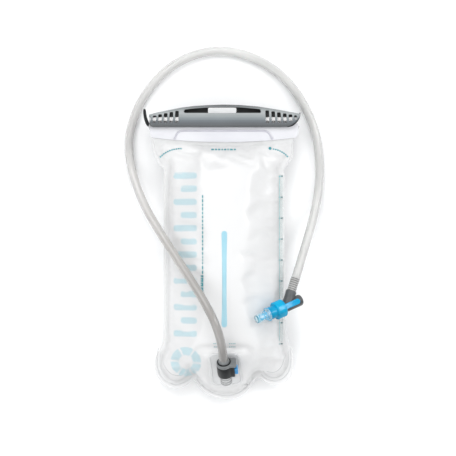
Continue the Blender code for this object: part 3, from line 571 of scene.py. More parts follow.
def rounded_profile(points, radius=0.35, steps=3):
    """Round every inner corner of an open (t, r) profile."""
    out = [points[0]]
    for a, b, c in zip(points, points[1:], points[2:]):
        a, b, c = (np.array(p, float) for p in (a, b, c))
        la, lc = np.linalg.norm(a - b), np.linalg.norm(c - b)
        k = min(radius, la * 0.45, lc * 0.45)
        if k < 0.02 or b[1] == 0:
            out.append(tuple(b))
            continue
        p0, p1 = b + (a - b) / la * k, b + (c - b) / lc * k
        for i in range(steps + 1):
            t = i / steps
            out.append(tuple((1 - t) ** 2 * p0 + 2 * t * (1 - t) * b + t * t * p1))
    out.append(points[-1])
    return out


def boolean(ob, tools, op="DIFFERENCE"):
    """Cut or join for good, and take the tools away."""
    for t in tools:
        m = ob.modifiers.new("b", "BOOLEAN")
        m.operation, m.solver, m.object = op, "EXACT", t
    bpy.context.view_layer.update()
    me = bpy.data.meshes.new_from_object(ob.evaluated_get(bpy.context.evaluated_depsgraph_get()))
    ob.modifiers.clear()
    ob.data = me
    for t in tools:
        bpy.data.objects.remove(t, do_unlink=True)
    return ob


def bevel(ob, width, segments=2, angle=40, apply=True):
    m = ob.modifiers.new("bevel", "BEVEL")
    m.width, m.segments = width * MM, segments
    m.limit_method, m.angle_limit = "ANGLE", math.radians(angle)
    m.harden_normals = False
    if apply:
        bpy.context.view_layer.update()
        me = bpy.data.meshes.new_from_object(ob.evaluated_get(bpy.context.evaluated_depsgraph_get()))
        ob.modifiers.clear()
        ob.data = me
    return ob


def finish_mesh(ob, angle=35):
    ob.data.shade_smooth()
    ob.data.set_sharp_from_angle(angle=math.radians(angle))
    return ob


def tube_mesh(name, pts, radius_out, mat, sides=24, radius_in=None, close=False):
    """A tube along points, hollow when radius_in(run) is given."""
    p = [np.array(q, float) for q in pts]
    n = len(p)
    tang = []
    for i in range(n):
        a = p[(i + 1) % n] if close else p[min(i + 1, n - 1)]
        b = p[(i - 1) % n] if close else p[max(i - 1, 0)]
        d = a - b
        tang.append(d / np.linalg.norm(d))
    ref = np.array([0, 0, 1.0])
    if abs(tang[0] @ ref) > 0.9:
        ref = np.array([1.0, 0, 0])
    u = ref - tang[0] * (tang[0] @ ref)
    u /= np.linalg.norm(u)
    runs = np.concatenate([[0], np.cumsum([np.linalg.norm(p[i + 1] - p[i]) for i in range(n - 1)])])
    verts, run_attr, frames = [], [], []
    for i in range(n):
        u = u - tang[i] * (tang[i] @ u)
        u /= np.linalg.norm(u)
        frames.append((u.copy(), np.cross(tang[i], u)))

    def ring(i, r):
        k0 = len(verts)
        uu, vv = frames[i]
        for k in range(sides):
            f = 2 * math.pi * k / sides
            verts.append(p[i] + uu * (r * math.cos(f)) + vv * (r * math.sin(f)))
            run_attr.append(runs[i] / runs[-1])
        return list(range(k0, k0 + sides))

    def r_out(i):
        return radius_out(runs[i]) if callable(radius_out) else radius_out

    outer = [ring(i, r_out(i)) for i in range(n)]
    faces = []

    def skin(rings):
        for a, b in zip(rings, rings[1:]):
            for k in range(sides):
                k2 = (k + 1) % sides
                faces.append((a[k], a[k2], b[k2], b[k]))

    skin(outer)
    if close:
        skin([outer[-1], outer[0]])
    elif radius_in is None:
        faces.append(tuple(outer[0][::-1]))
        faces.append(tuple(outer[-1]))
    else:
        inner = [ring(i, radius_in(runs[i])) for i in range(n)]
        skin([r[::-1] for r in inner])
        for k in range(sides):
            k2 = (k + 1) % sides
            faces.append((outer[0][k2], outer[0][k], inner[0][k], inner[0][k2]))
            faces.append((outer[-1][k], outer[-1][k2], inner[-1][k2], inner[-1][k]))
    ob = add(name, verts, faces, mat, recalc=True, angle=60)
    at = ob.data.attributes.new("run", "FLOAT", "POINT")
    at.data.foreach_set("value", [float(v) for v in run_attr])
    return ob


def catmull(pts, per=8, closed=False):
    n, out = len(pts), []
    count = n if closed else n - 1
    for i in range(count):
        q = [np.array(pts[(i + k) % n] if closed else pts[min(max(i + k, 0), n - 1)], float) for k in (-1, 0, 1, 2)]
        for k in range(per):
            t = k / per
            out.append(tuple(0.5 * (2 * q[1] + (q[2] - q[0]) * t + (2 * q[0] - 5 * q[1] + 4 * q[2] - q[3]) * t * t
                                    + (3 * q[1] - q[0] - 3 * q[2] + q[3]) * t ** 3)))
    if not closed:
        out.append(tuple(float(c) for c in pts[-1]))
    return out


def pill(x0, y0, x1, y1, r=None, steps=6):
    w, h = x1 - x0, y1 - y0
    r = min(w, h) / 2 if r is None else min(r, w / 2, h / 2)
    out = []
    for cx, cy, f0 in ((x1 - r, y1 - r, 0), (x0 + r, y1 - r, 90), (x0 + r, y0 + r, 180), (x1 - r, y0 + r, 270)):
        for k in range(steps + 1):
            f = math.radians(f0 + 90 * k / steps)
            out.append((cx + r * math.cos(f), cy + r * math.sin(f)))
    clean = []
    for p in out:
        if not clean or math.hypot(p[0] - clean[-1][0], p[1] - clean[-1][1]) > 1e-3:
            clean.append(p)
    if math.hypot(clean[0][0] - clean[-1][0], clean[0][1] - clean[-1][1]) < 1e-3:
        clean.pop()
    return clean


def smoothstep(e0, e1, x):
    t = np.clip((np.asarray(x, float) - e0) / (e1 - e0), 0, 1)
    return t * t * (3 - 2 * t)


# ------------------------------------------------------------------ the drink tube
ROUTE = ([tuple(TUBE_IN + PORT_A * t) for t in (0, 7, 14)] + [
    (-2.8, -98, 78.6), (-6, -85, 82.6), (-11, -72, 83.2), (-18, -58.5, 79.6), (-26.5, -44, 73), (-35.5, -30, 65), (-44.5, -16.5, 57.3),
    (-53.5, -3, 50), (-62.5, 10.5, 43), (-71.5, 24, 36.3), (-80, 37.5, 29.5), (-87.5, 51, 22.8), (-93.5, 64.5, 16.4),
    (-98.5, 78, 11), (-102.5, 91.5, 7.2), (-105, 105, 5.4), (-106, 118.5, 5), (-105, 132, 5), (-101.5, 145.5, 5),
    (-96.5, 158.5, 5), (-90, 171.5, 5), (-80.5, 185, 5), (-69.5, 197, 5), (-57.5, 207, 5), (-44.5, 214.5, 5),
    (-31, 220, 5), (-17, 223, 5), (-2, 224, 5), (13, 222.3, 5), (27, 218, 5), (40, 212.5, 5), (52, 205.5, 5),
    (63.5, 197, 5), (73.5, 186.5, 5), (82.5, 174.5, 5), (90.5, 160.5, 5), (97.5, 145, 5), (102.3, 130, 5),
    (105, 114.5, 5), (106.3, 98, 5), (106, 80.5, 5.8), (104, 62.5, 8.6), (100.5, 45, 13.2), (96, 28.5, 19),
    (91, 12, 25.2), (86, -4, 31.2)] + [tuple(TUBE_OUT + BRANCH_DIR * t) for t in (22, 14, 7, 0)])


def smooth_route(ctrl, count):
    p = [np.array(c, float) for c in ctrl]
    p = [2 * p[0] - p[1]] + p + [2 * p[-1] - p[-2]]
    fine = []
    for i in range(len(p) - 3):
        for k in range(12):
            t = k / 12
            fine.append(((1 - t) ** 3 * p[i] + (3 * t ** 3 - 6 * t ** 2 + 4) * p[i + 1]
                         + (-3 * t ** 3 + 3 * t ** 2 + 3 * t + 1) * p[i + 2] + t ** 3 * p[i + 3]) / 6)
    fine.append(np.array(ctrl[-1], float))
    fine = np.array(fine)
    run = np.concatenate([[0], np.cumsum(np.linalg.norm(np.diff(fine, axis=0), axis=1))])
    at = np.linspace(0, run[-1], count)
    return [tuple(np.interp(a, run, fine[:, k]) for k in range(3)) for a in at], float(run[-1])


hose_pts, HOSE_LEN = smooth_route(ROUTE, 240)


def hose_bore(run):
    """The bore is 6.4 mm, and stretched to 7.6 mm over each barb."""
    d = min(run, HOSE_LEN - run)
    t = min(max((d - 14.5) / 3.5, 0), 1)
    return 3.8 + (3.2 - 3.8) * t * t * (3 - 2 * t)


def hose_skin(run):
    """Outer skin, swollen a little over each barb and rippled where it grips the rings."""
    d = HOSE_LEN - run
    if d < 17:
        return 4.75 + (0.22 if d < 13 else 0.22 * (17 - d) / 4) + 0.16 * math.cos(2 * math.pi * (d - 0.8) / 2.35)
    return 4.75 + 0.45 * (1 - float(smoothstep(2.0, 15.0, run)))


# the last stretch carries the rippled grip, so its rings of points lie closer together
hose_fine, _ = smooth_route(ROUTE, 1900)
_run = np.concatenate([[0], np.cumsum(np.linalg.norm(np.diff(np.array(hose_fine), axis=0), axis=1))])
_at = sorted(set(list(np.linspace(0, 20, 12)) + list(np.linspace(20, HOSE_LEN - 19, 215)) + list(np.linspace(HOSE_LEN - 19, HOSE_LEN, 62))))
hose_pts = [tuple(float(np.interp(a, _run, np.array(hose_fine)[:, k])) for k in range(3)) for a in _at]
hose = tube_mesh("drink_tube", hose_pts, hose_skin, M_HOSE, sides=32, radius_in=hose_bore)
# painted shade in the grip grooves: 1 where the skin ripple is lowest, 0 on the ridges
_groove_shade = hose.data.attributes.new("grip", "FLOAT", "POINT")
_groove_shade_vals = []
for a in _at:
    d = HOSE_LEN - a
    _groove_shade_vals += [0.0 if d > 14.5 else 0.5 - 0.5 * math.cos(2 * math.pi * (d - 0.8) / 2.35)] * 32
_groove_shade.data.foreach_set("value", _groove_shade_vals + _groove_shade_vals)
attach(hose, "connector")
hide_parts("hose")

# ------------------------------------------------------------------ the film
EDGE = [(-80.5, 141), (-40, 141), (0, 141), (40, 141), (80.5, 141),
        (79, 131), (76, 121), (76, 112), (74.5, 104), (70, 97), (66, 92), (66.5, 84),
        (66.5, 60), (66.5, 30), (66.5, 0), (66.5, -30), (66.5, -60), (68, -78), (70.5, -97), (75.5, -108),
        (76.5, -118), (76, -128), (73, -139), (66, -144.5), (57, -147), (47.5, -144.5), (39, -139),
        (32, -144), (27.5, -151), (18, -159), (4, -162.5), (-11, -160), (-22, -154), (-28.5, -147),
        (-33, -141), (-40, -146), (-52, -151), (-65, -147), (-73, -138.5), (-77, -128), (-76, -117), (-71, -107),
        (-67, -97), (-66.5, -80), (-66.5, -50), (-66.5, -20), (-66.5, 10), (-66.5, 40), (-66.5, 70), (-66.5, 85),
        (-66, 92), (-71, 97), (-75, 105), (-77.5, 113), (-79, 122), (-80.5, 132)]
WELD = [(-68, 121.5), (-45, 119), (-22, 117.8), (0, 117.5), (22, 117.8), (45, 119), (68, 121.5),
        (70, 112), (67, 104), (62, 97), (59.5, 90), (60.5, 80),
        (61, 60), (61, 30), (61, 0), (61, -30), (61, -60), (61.5, -80), (63, -98), (67, -110),
        (69, -119), (68, -128), (64, -135), (57, -139), (48, -137), (39, -131.5), (31, -136), (24, -146),
        (14, -153.5), (2, -156), (-10, -154), (-19, -148), (-27, -139), (-33, -133), (-41, -138.5), (-52, -143),
        (-62, -139.5), (-68, -130), (-69, -119), (-65, -109), (-61.5, -97), (-61.5, -80),
        (-61, -50), (-61, -20), (-61, 10), (-61, 40), (-61, 70), (-60.5, 82), (-59.5, 90),
        (-62, 97), (-67, 104), (-70, 112)]


def densify(poly, step):
    smooth = catmull(poly, 3, closed=True)
    out = []
    n = len(smooth)
    for i in range(n):
        a, b = np.array(smooth[i]), np.array(smooth[(i + 1) % n])
        k = max(1, int(math.ceil(np.hypot(*(b - a)) / step)))
        out += [tuple(a + (b - a) * j / k) for j in range(k)]
    return out


def inside(poly, x, y):
    x, y = np.asarray(x, float), np.asarray(y, float)
    hit = np.zeros(x.shape, bool)
    n = len(poly)
    for i in range(n):
        (x0, y0), (x1, y1) = poly[i], poly[(i + 1) % n]
        if y0 == y1:
            continue
        hit ^= ((y0 > y) != (y1 > y)) & (x < (x1 - x0) * (y - y0) / (y1 - y0) + x0)
    return hit


def distance_to(poly, x, y):
    x, y = np.asarray(x, float), np.asarray(y, float)
    d = np.full(x.shape, 1e9)
    n = len(poly)
    for i in range(n):
        a, b = np.array(poly[i]), np.array(poly[(i + 1) % n])
        ab = b - a
        t = np.clip(((x - a[0]) * ab[0] + (y - a[1]) * ab[1]) / max(ab @ ab, 1e-9), 0, 1)
        d = np.minimum(d, np.hypot(x - a[0] - ab[0] * t, y - a[1] - ab[1] * t))
    return d


OUTER = densify(EDGE, 4.0)
INNER = densify(WELD, 4.0)
INNER_C = densify(WELD, 9.0)


class Swell:
    """How full the bag is at a point: a membrane pinned along the weld, from 0 to 1."""

    def __init__(self, poly, step=2.0):
        self.step, self.poly = step, poly
        self.xs = np.arange(-84, 84 + step, step)
        self.ys = np.arange(-168, 132 + step, step)
        gx, gy = np.meshgrid(self.xs, self.ys, indexing="ij")
        mask = inside(poly, gx, gy)
        u = np.zeros(gx.shape)
        # settle the membrane by repeated relaxation on this grid
        for _ in range(5200):
            v = np.zeros(gx.shape)
            v[1:-1, 1:-1] = 0.25 * (u[2:, 1:-1] + u[:-2, 1:-1] + u[1:-1, 2:] + u[1:-1, :-2] + step * step)
            u = np.where(mask, u + (v - u) * 0.98, 0.0)
        self.u = u / u.max()
        self.d = np.where(mask, distance_to(poly, gx, gy), 0.0)

    def _at(self, grid, x, y):
        fx = np.clip((x - self.xs[0]) / self.step, 0, len(self.xs) - 1.001)
        fy = np.clip((y - self.ys[0]) / self.step, 0, len(self.ys) - 1.001)
        i, j = fx.astype(int), fy.astype(int)
        a, b = fx - i, fy - j
        return (grid[i, j] * (1 - a) * (1 - b) + grid[i + 1, j] * a * (1 - b)
                + grid[i, j + 1] * (1 - a) * b + grid[i + 1, j + 1] * a * b)

    def __call__(self, x, y):
        x, y = np.asarray(x, float), np.asarray(y, float)
        return np.clip(self._at(self.d, x, y) / 4.0, 0, 1) * self._at(self.u, x, y)


SWELL = Swell(INNER_C)


def seam_z(y):
    return (SEAM_Z_BODY + (SEAM_Z_TOP - SEAM_Z_BODY) * smoothstep(50, 112, y)
            - (SEAM_Z_BODY - SEAM_Z_FOOT) * smoothstep(-90, -140, y))


def near_port(x, y):
    qx, qy = np.maximum(np.abs(x - 0.5) - 15.5, 0), np.maximum(np.abs(y + 132.5) - 13.5, 0)
    return 1 - smoothstep(1.5, 17.0, np.hypot(qx, qy))


def front_z(x, y):
    """Upper face of the front film, before the simulation's creases."""
    x, y = np.asarray(x, float), np.asarray(y, float)
    r = SWELL(x, y)
    p = 0.60 + 0.25 * smoothstep(55, 112, y)
    z = seam_z(y) + SEAM_GAP / 2 + FILM + (BAG_TOP_Z - FILM - SEAM_GAP / 2 - seam_z(y)) * r ** p
    foot = PORT_C - PORT_N * AXIS_LIFT
    plane = foot.z - (PORT_N.x * (x - foot.x) + PORT_N.y * (y - foot.y)) / PORT_N.z
    z = z + (plane - z) * near_port(x, y) * (r > 0)
    base = seam_z(y) + SEAM_GAP / 2 + FILM
    return np.where(r > 0, np.maximum(z, base), base)


def rear_z(x, y):
    r = SWELL(x, y)
    z = seam_z(y) - SEAM_GAP / 2 - FILM - (seam_z(y) + 8.0) * r ** (0.5 + 0.35 * smoothstep(55, 112, y))
    return np.maximum(z, 0.0)


def film_points(step):
    pts = list(OUTER)
    n_out, n_in = len(OUTER), len(INNER)
    pts += INNER
    rows = int(310 / (step * 0.866)) + 1
    for j in range(rows):
        y = -163 + j * step * 0.866
        for i in range(int(172 / step) + 1):
            pts.append((-86 + i * step + (step / 2 if j % 2 else 0), y))
    arr = np.array(pts)
    x, y = arr[:, 0], arr[:, 1]
    keep = inside(OUTER, x, y) & (distance_to(OUTER, x, y) > step * 0.5) & (distance_to(INNER, x, y) > step * 0.5)
    keep[: n_out + n_in] = True
    pts = [p for p, k in zip(pts, keep) if k]
    weld = [(n_out + k, n_out + (k + 1) % n_in) for k in range(n_in)]
    vs, _, fs, *_ = delaunay_2d_cdt([Vector(p) for p in pts], weld, [list(range(n_out))], 1, 1e-4)
    return np.array([(v.x, v.y) for v in vs]), [tuple(f) for f in fs]


FILM_XY, FILM_F = film_points(3.6)
FX, FY = FILM_XY[:, 0], FILM_XY[:, 1]
FR = SWELL(FX, FY)
WELD_D = np.where(inside(INNER, FX, FY), distance_to(INNER, FX, FY), 0.0)


def simulate(name, z, side):
    """Blow the film up against its pinned weld with the Cloth solver, and give the moved points."""
    me = bpy.data.meshes.new(name)
    faces = FILM_F if side > 0 else [f[::-1] for f in FILM_F]
    me.from_pydata([(x * MM, y * MM, zz * MM) for (x, y), zz in zip(FILM_XY, z)], [], faces)
    ob = bpy.data.objects.new(name, me)
    scene.collection.objects.link(ob)
    vg = ob.vertex_groups.new(name="pin")
    hold = np.where(WELD_D < 0.3, 1.0, 0.0)
    if side > 0:
        hold = np.maximum(hold, near_port(FX, FY) > 0.55)
    else:
        hold = np.maximum(hold, z < 0.2)
    for i, w in enumerate(hold):
        if w > 0:
            vg.add([i], float(w), "REPLACE")
    md = ob.modifiers.new("cloth", "CLOTH")
    cs = md.settings
    cs.quality = 6
    cs.mass = 0.25
    cs.tension_stiffness = cs.compression_stiffness = 18.0
    cs.shear_stiffness = 8.0
    cs.bending_stiffness = 0.35
    cs.tension_damping = cs.compression_damping = 12.0
    cs.air_damping = 3.0
    cs.use_pressure = True
    cs.uniform_pressure_force = 2.2
    cs.shrink_min = -0.028
    cs.vertex_group_mass = "pin"
    cs.effector_weights.gravity = 0.0
    md.collision_settings.use_collision = False
    md.collision_settings.use_self_collision = False
    for f in range(1, 19):
        scene.frame_set(f)
    dg = bpy.context.evaluated_depsgraph_get()
    ev = ob.evaluated_get(dg).to_mesh()
    co = np.empty(len(ev.vertices) * 3)
    ev.vertices.foreach_get("co", co)
    co = co.reshape(-1, 3) / MM
    ob.evaluated_get(dg).to_mesh_clear()
    bpy.data.objects.remove(ob, do_unlink=True)
    scene.frame_set(1)
    return co


def creased(z, side):
    """Small puckers that start at the weld and die out in the film."""
    s = 0.0
    for k, (w, a) in enumerate(((9.0, 0.55), (14.5, 0.45), (23.0, 0.35))):
        run = FX * 0.35 + FY
        s = s + a * np.sin(2 * math.pi * run / w + 1.7 * k + 0.6 * np.sin(FX / 11.0 + k))
    fade = np.clip(WELD_D / 3.0, 0, 1) * np.exp(-WELD_D / 9.0)
    return folded(z + side * s * fade * 0.6, side)


FOLDS = [(-64, 70, -48, 66, 1.0), (-64, 61, -52, 60, 0.7), (61, 72, 46, 66, 1.1), (61, 64, 50, 61, 0.8), (61, -2, 44, 1, 1.3), (61, -9, 47, -8, 1.1),
         (61, -17, 46, -20, 0.9), (-60, 88, -44, 80, 1.2), (58, 88, 44, 80, 1.2), (-62, -97, -46, -92, 1.2), (-64, -108, -50, -112, 1.0),
         (64, -100, 48, -95, 1.2), (66, -112, 52, -112, 1.0), (-40, -137, -36, -118, 1.0), (38, -130, 34, -114, 1.0), (-55, -139, -52, -124, 0.9),
         (56, -138, 53, -124, 0.9), (61, 30, 50, 32, 0.6), (-61, 20, -50, 24, 0.7), (-61, -35, -49, -38, 0.8), (61, -55, 48, -58, 0.8), (-30, 116, -26, 101, 0.8),
         (0, 116.5, 1, 103, 0.7), (34, 116, 30, 101, 0.8), (-62, -66, -50, -62, 0.8), (61, -78, 50, -74, 0.8)]


def folded(z, side):
    """Short valleys that run in from the weld and fade out, each with a soft ridge beside it."""
    out = z.copy()
    for x0, y0, x1, y1, depth in FOLDS:
        d = np.array([x1 - x0, y1 - y0], float)
        length = np.hypot(*d)
        d /= length
        along = (FX - x0) * d[0] + (FY - y0) * d[1]
        across = -(FX - x0) * d[1] + (FY - y0) * d[0]
        env = np.clip(along / 3.0, 0, 1) * np.clip((length - along) / (0.6 * length), 0, 1)
        env = env * env * (3 - 2 * env)
        out = out + side * depth * env * (0.8 * np.exp(-((across - 3.2) / 2.2) ** 2) - np.exp(-(across / 1.9) ** 2)) * np.clip(WELD_D / 2.5, 0, 1)
    return out


front_flat = front_z(FX, FY)
rear_flat = rear_z(FX, FY)
CAP_MOVE = 3.2


def film_shape(z, side):
    z0 = creased(z, side)
    base = np.column_stack([FX, FY, z0])
    moved = simulate("film_sim", z0, side)
    d = moved - base
    size = np.linalg.norm(d, axis=1)
    limit = CAP_MOVE * np.clip(WELD_D / 6.0, 0, 1)
    limit = np.where(near_port(FX, FY) > 0.3, np.minimum(limit, 0.4), limit)
    if side < 0:
        limit = limit * np.clip(z / 7.0, 0, 1)
    k = np.where(size > limit, limit / np.maximum(size, 1e-9), 1.0)
    out = base + d * k[:, None]
    if side < 0:
        out[:, 2] = np.maximum(out[:, 2], 0.0)
    return out


def film_object(name, pts, side, thick, mat):
    """A film with real thickness: outer face, inner face and the cut edge."""
    n = len(pts)
    inner = pts.copy()
    inner[:, 2] -= side * thick
    if side < 0:
        inner[:, 2] = pts[:, 2] + thick
    verts = [tuple(p) for p in pts] + [tuple(p) for p in inner]
    faces = list(FILM_F) + [tuple(k + n for k in f[::-1]) for f in FILM_F]
    count = {}
    for f in FILM_F:
        for a, b in zip(f, f[1:] + f[:1]):
            count.setdefault((min(a, b), max(a, b)), []).append((a, b))
    for pair in count.values():
        if len(pair) == 1:
            a, b = pair[0]
            faces.append((b, a, a + n, b + n))
    ob = add(name, verts, faces, mat, angle=70)
    fill = np.clip(FR, 0, 1) ** 0.5
    at = ob.data.attributes.new("fill", "FLOAT", "POINT")
    at.data.foreach_set("value", [float(v) for v in np.concatenate([fill, fill])])
    return ob


FRONT_PTS = film_shape(front_flat, 1)
REAR_PTS = film_shape(rear_flat, -1)
# the two films never meet inside the weld
front_film = film_object("front_film", FRONT_PTS, 1, 0.35, M_FILM)
rear_film = film_object("rear_film", REAR_PTS, -1, 0.35, M_REAR)
for ob, node in ((front_film, "front_panel"), (rear_film, "rear_panel")):
    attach(ob, "bladder")
    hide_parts(node)

# a fast look-up of the finished front film's height


def _grid_height(points):
    from mathutils.bvhtree import BVHTree
    tree = BVHTree.FromPolygons([Vector(p) for p in points], FILM_F)

    def height(x, y):
        hit = tree.ray_cast(Vector((float(x), float(y), 200.0)), Vector((0, 0, -1)))
        return hit[0].z if hit[0] else float(front_z(x, y))
    return height


film_height = _grid_height(FRONT_PTS)

# ------------------------------------------------------------------ prints, welds and marks on the film


def decal(name, outlines, mat, lift=0.22, step=1.5):
    """Flat patches laid on the front film: each outline is triangulated and draped."""
    verts, faces = [], []
    for outline in outlines:
        n = len(outline)
        pts = [Vector((float(x), float(y))) for x, y in outline]
        xs, ys = [p.x for p in pts], [p.y for p in pts]
        extra = []
        if max(xs) - min(xs) > 2 * step or max(ys) - min(ys) > 2 * step:
            gx, gy = np.meshgrid(np.arange(min(xs) + step / 2, max(xs), step), np.arange(min(ys) + step / 2, max(ys), step))
            gx, gy = gx.ravel(), gy.ravel()
            ok = inside(outline, gx, gy) & (distance_to(outline, gx, gy) > step * 0.35)
            extra = [Vector((float(a), float(b))) for a, b in zip(gx[ok], gy[ok])]
        vs, _, fs, *_ = delaunay_2d_cdt(pts + extra, [], [list(range(n))], 1, 1e-5)
        k = len(verts)
        verts += [(v.x, v.y, film_height(v.x, v.y) + lift) for v in vs]
        faces += [tuple(k + i for i in f) for f in fs]
    ob = add(name, verts, faces, mat, recalc=False, angle=80)
    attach(ob, "bladder")
    return ob


def arc_band(cx, cy, r0, r1, a0, a1, steps=24):
    out = [(cx + r1 * math.cos(math.radians(a0 + (a1 - a0) * k / steps)), cy + r1 * math.sin(math.radians(a0 + (a1 - a0) * k / steps))) for k in range(steps + 1)]
    out += [(cx + r0 * math.cos(math.radians(a1 + (a0 - a1) * k / steps)), cy + r0 * math.sin(math.radians(a1 + (a0 - a1) * k / steps))) for k in range(steps + 1)]
    return out


def ribbon(path, width):
    """An outline of constant width along a path in x, y."""
    p = np.array(path, float)
    d = np.gradient(p, axis=0)
    d /= np.linalg.norm(d, axis=1)[:, None]
    nrm = np.column_stack([-d[:, 1], d[:, 0]]) * width / 2
    return [tuple(q) for q in p + nrm] + [tuple(q) for q in (p - nrm)[::-1]]


# a generic column of hatched level bars up the left side, wide and narrow by turns
bars = []
y = -92.0
rows = [(26, 7), (18, 7), (26, 7), (18, 7), (26, 7), (18, 7), (26, 7), (18, 7), (26, 7), (18, 7), (26, 7), (18, 7), (26, 7)]
for w, h in rows:
    bars.append(pill(-29.5 - w, y, -29.5, y + h, 3.2))
    y += 14.4
decal("print_level_bars", bars, M_HATCH)
decal("print_ring", [arc_band(-41.8, -120.0, 8.0, 16.8, a, a + 52) for a in range(0, 360, 60)], M_HATCH)

# fine rule marks
dashes = []
rng = np.random.RandomState(4)
y = -48.0
while y < 60.0:
    h = float(rng.uniform(1.6, 4.2))
    dashes.append(pill(-24.0, y, -22.55, y + h, 0.3, 2))
    y += h + float(rng.uniform(1.1, 1.9))
decal("print_rule", dashes, M_TEAL)
heavy = []
y = -47.0
while y < -26.0:
    heavy.append(pill(-25.4, y, -22.3, y + 1.6, 0.3, 2))
    y += 2.6
decal("print_rule_heavy", heavy, M_TEAL)
small = []
for x0, x1, yy in ((-11.5, -5.5, -99.5), (5.5, 13.0, -99.5), (-11.0, -5.5, -103.2), (5.5, 13.0, -103.2)):
    x = x0
    while x < x1:
        small.append(pill(x, yy, x + 1.3, yy + 1.1, 0.3, 2))
        x += 1.9
decal("print_small", small, M_TEAL_LT)
top_row = []
x = -14.0
while x < 11.5:
    w = float(rng.uniform(1.4, 3.2))
    top_row.append(pill(x, 112.2, x + w, 114.0, 0.3, 2))
    x += w + 1.2
arcs = []


def dashed(path, width, on, off):
    p = np.array(catmull(path, 16), float)
    run = np.concatenate([[0], np.cumsum(np.linalg.norm(np.diff(p, axis=0), axis=1))])
    s, out = 0.0, []
    while s + on < run[-1]:
        q = [(float(np.interp(s + on * k / 4, run, p[:, 0])), float(np.interp(s + on * k / 4, run, p[:, 1]))) for k in range(5)]
        out.append(ribbon(q, width))
        s += on + off
    return out


arcs += dashed([(-70.5, 104.5), (-66, 108.5), (-58, 112.5), (-49, 114.2), (-44.5, 113.6)], 1.5, 1.9, 0.6)
arcs += dashed([(53.5, 113.8), (60, 112.2), (66.5, 108.6), (71, 104.2)], 1.5, 1.9, 0.6)
dots = [arc_band(50.6, 114.4, 0.0001, 1.7, 0, 359.9, 20)[:20]]
decal("print_top_row", top_row, M_TEAL)
decal("print_shoulder_arcs", arcs + dots, M_TEAL)

# the level scale in the right weld
M_SCALE, _p = principled("print_scale_tint", (0.72, 0.86, 0.86), 0.4, Alpha=0.22)
vary_color(M_SCALE, _p, (0.68, 0.84, 0.84), (0.78, 0.89, 0.89), 80.0)
decal("print_scale_strip", [pill(60.6, -99.0, 65.2, 86.0, 1.6)], M_SCALE, lift=0.16)
ticks, tick_dots = [], []
for k in range(9):
    yy = 84.0 - 23.1 * k if k < 6 else 84.0 - 23.1 * k
    ticks.append(pill(60.3, yy - 0.4, 62.6, yy + 0.4, 0.2, 2))
    tick_dots.append(pill(63.0, yy - 0.8, 64.8, yy + 0.8, 0.6, 3))
decal("print_scale_ticks", ticks, M_TEAL, lift=0.28)
decal("print_scale_dots", tick_dots, M_DOT, lift=0.28)
decal("print_scale_edge", [pill(60.7, -97.0, 61.3, 84.0, 0.2, 2)], M_TEAL_LT, lift=0.26)

# the coloured weld that holds the inner divider to the front film
M_BAR, _p = principled("divider_weld", (0.35, 0.62, 0.72), 0.35, Alpha=0.92)
vary_color(M_BAR, _p, (0.32, 0.59, 0.70), (0.39, 0.65, 0.745), 30.0)
noise_bump(M_BAR, _p, 260.0, 0.15, 0.0001, stretch=(1, 0.1, 1))
bar = decal("divider_weld_bar", [pill(-2.6, -81.0, 3.4, 23.8, 3.0)], M_BAR, lift=0.3)


def weld_line(name, path, width=0.9, height=0.35, closed=False):
    """A low rounded ridge pressed into the film along a path."""
    p = catmull(path, 6, closed)
    pts = [(x, y, film_height(x, y) - 0.05) for x, y in p]
    ob = tube_mesh(name, pts, width / 2, M_WELD, sides=8, close=closed)
    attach(ob, "bladder")
    return ob


weld_line("weld_lobe_right", [(73.5, -106), (74, -118), (72.5, -129), (67, -138), (57, -142.5), (47, -140), (41, -135)])
weld_line("weld_lobe_left", [(-72.5, -106), (-74, -118), (-73.3, -129), (-67, -140.5), (-54, -146.5), (-42, -143), (-36, -138)])
weld_line("weld_lobe_right_mid", [(70.8, -109), (71, -119), (69.5, -127.5), (64, -135), (56.5, -138.6), (48.5, -136.6), (43, -131)], 0.7)
weld_line("weld_lobe_left_mid", [(-69.5, -109), (-70.8, -119), (-69.8, -128), (-64, -137), (-54, -142), (-44, -139), (-38.5, -134)], 0.7)
weld_line("weld_lobe_right_inner", [(66.5, -116), (63, -126), (56, -132), (47, -131)], 0.7)
weld_line("weld_lobe_left_inner", [(-68, -112), (-66, -124), (-58, -134), (-46, -136)], 0.7)
weld_line("weld_mouth_left", [(-79.3, 138), (-78.2, 128), (-76.6, 119), (-74.4, 110), (-70.5, 102), (-67.5, 97)], 0.6)
weld_line("weld_mouth_right", [(79.3, 138), (77.6, 128), (74.8, 119), (74.6, 110), (72.0, 103), (68.0, 96.5)], 0.6)
weld_line("weld_middle", [(-30, -141), (-22, -149.5), (-11, -156), (3, -158.6), (16, -155.5), (26, -147.5), (33, -139)])

# ------------------------------------------------------------------ closure rails


def band_low(x):
    return 121.4 + 5.3 * (abs(x) / 81.6) ** 2.2


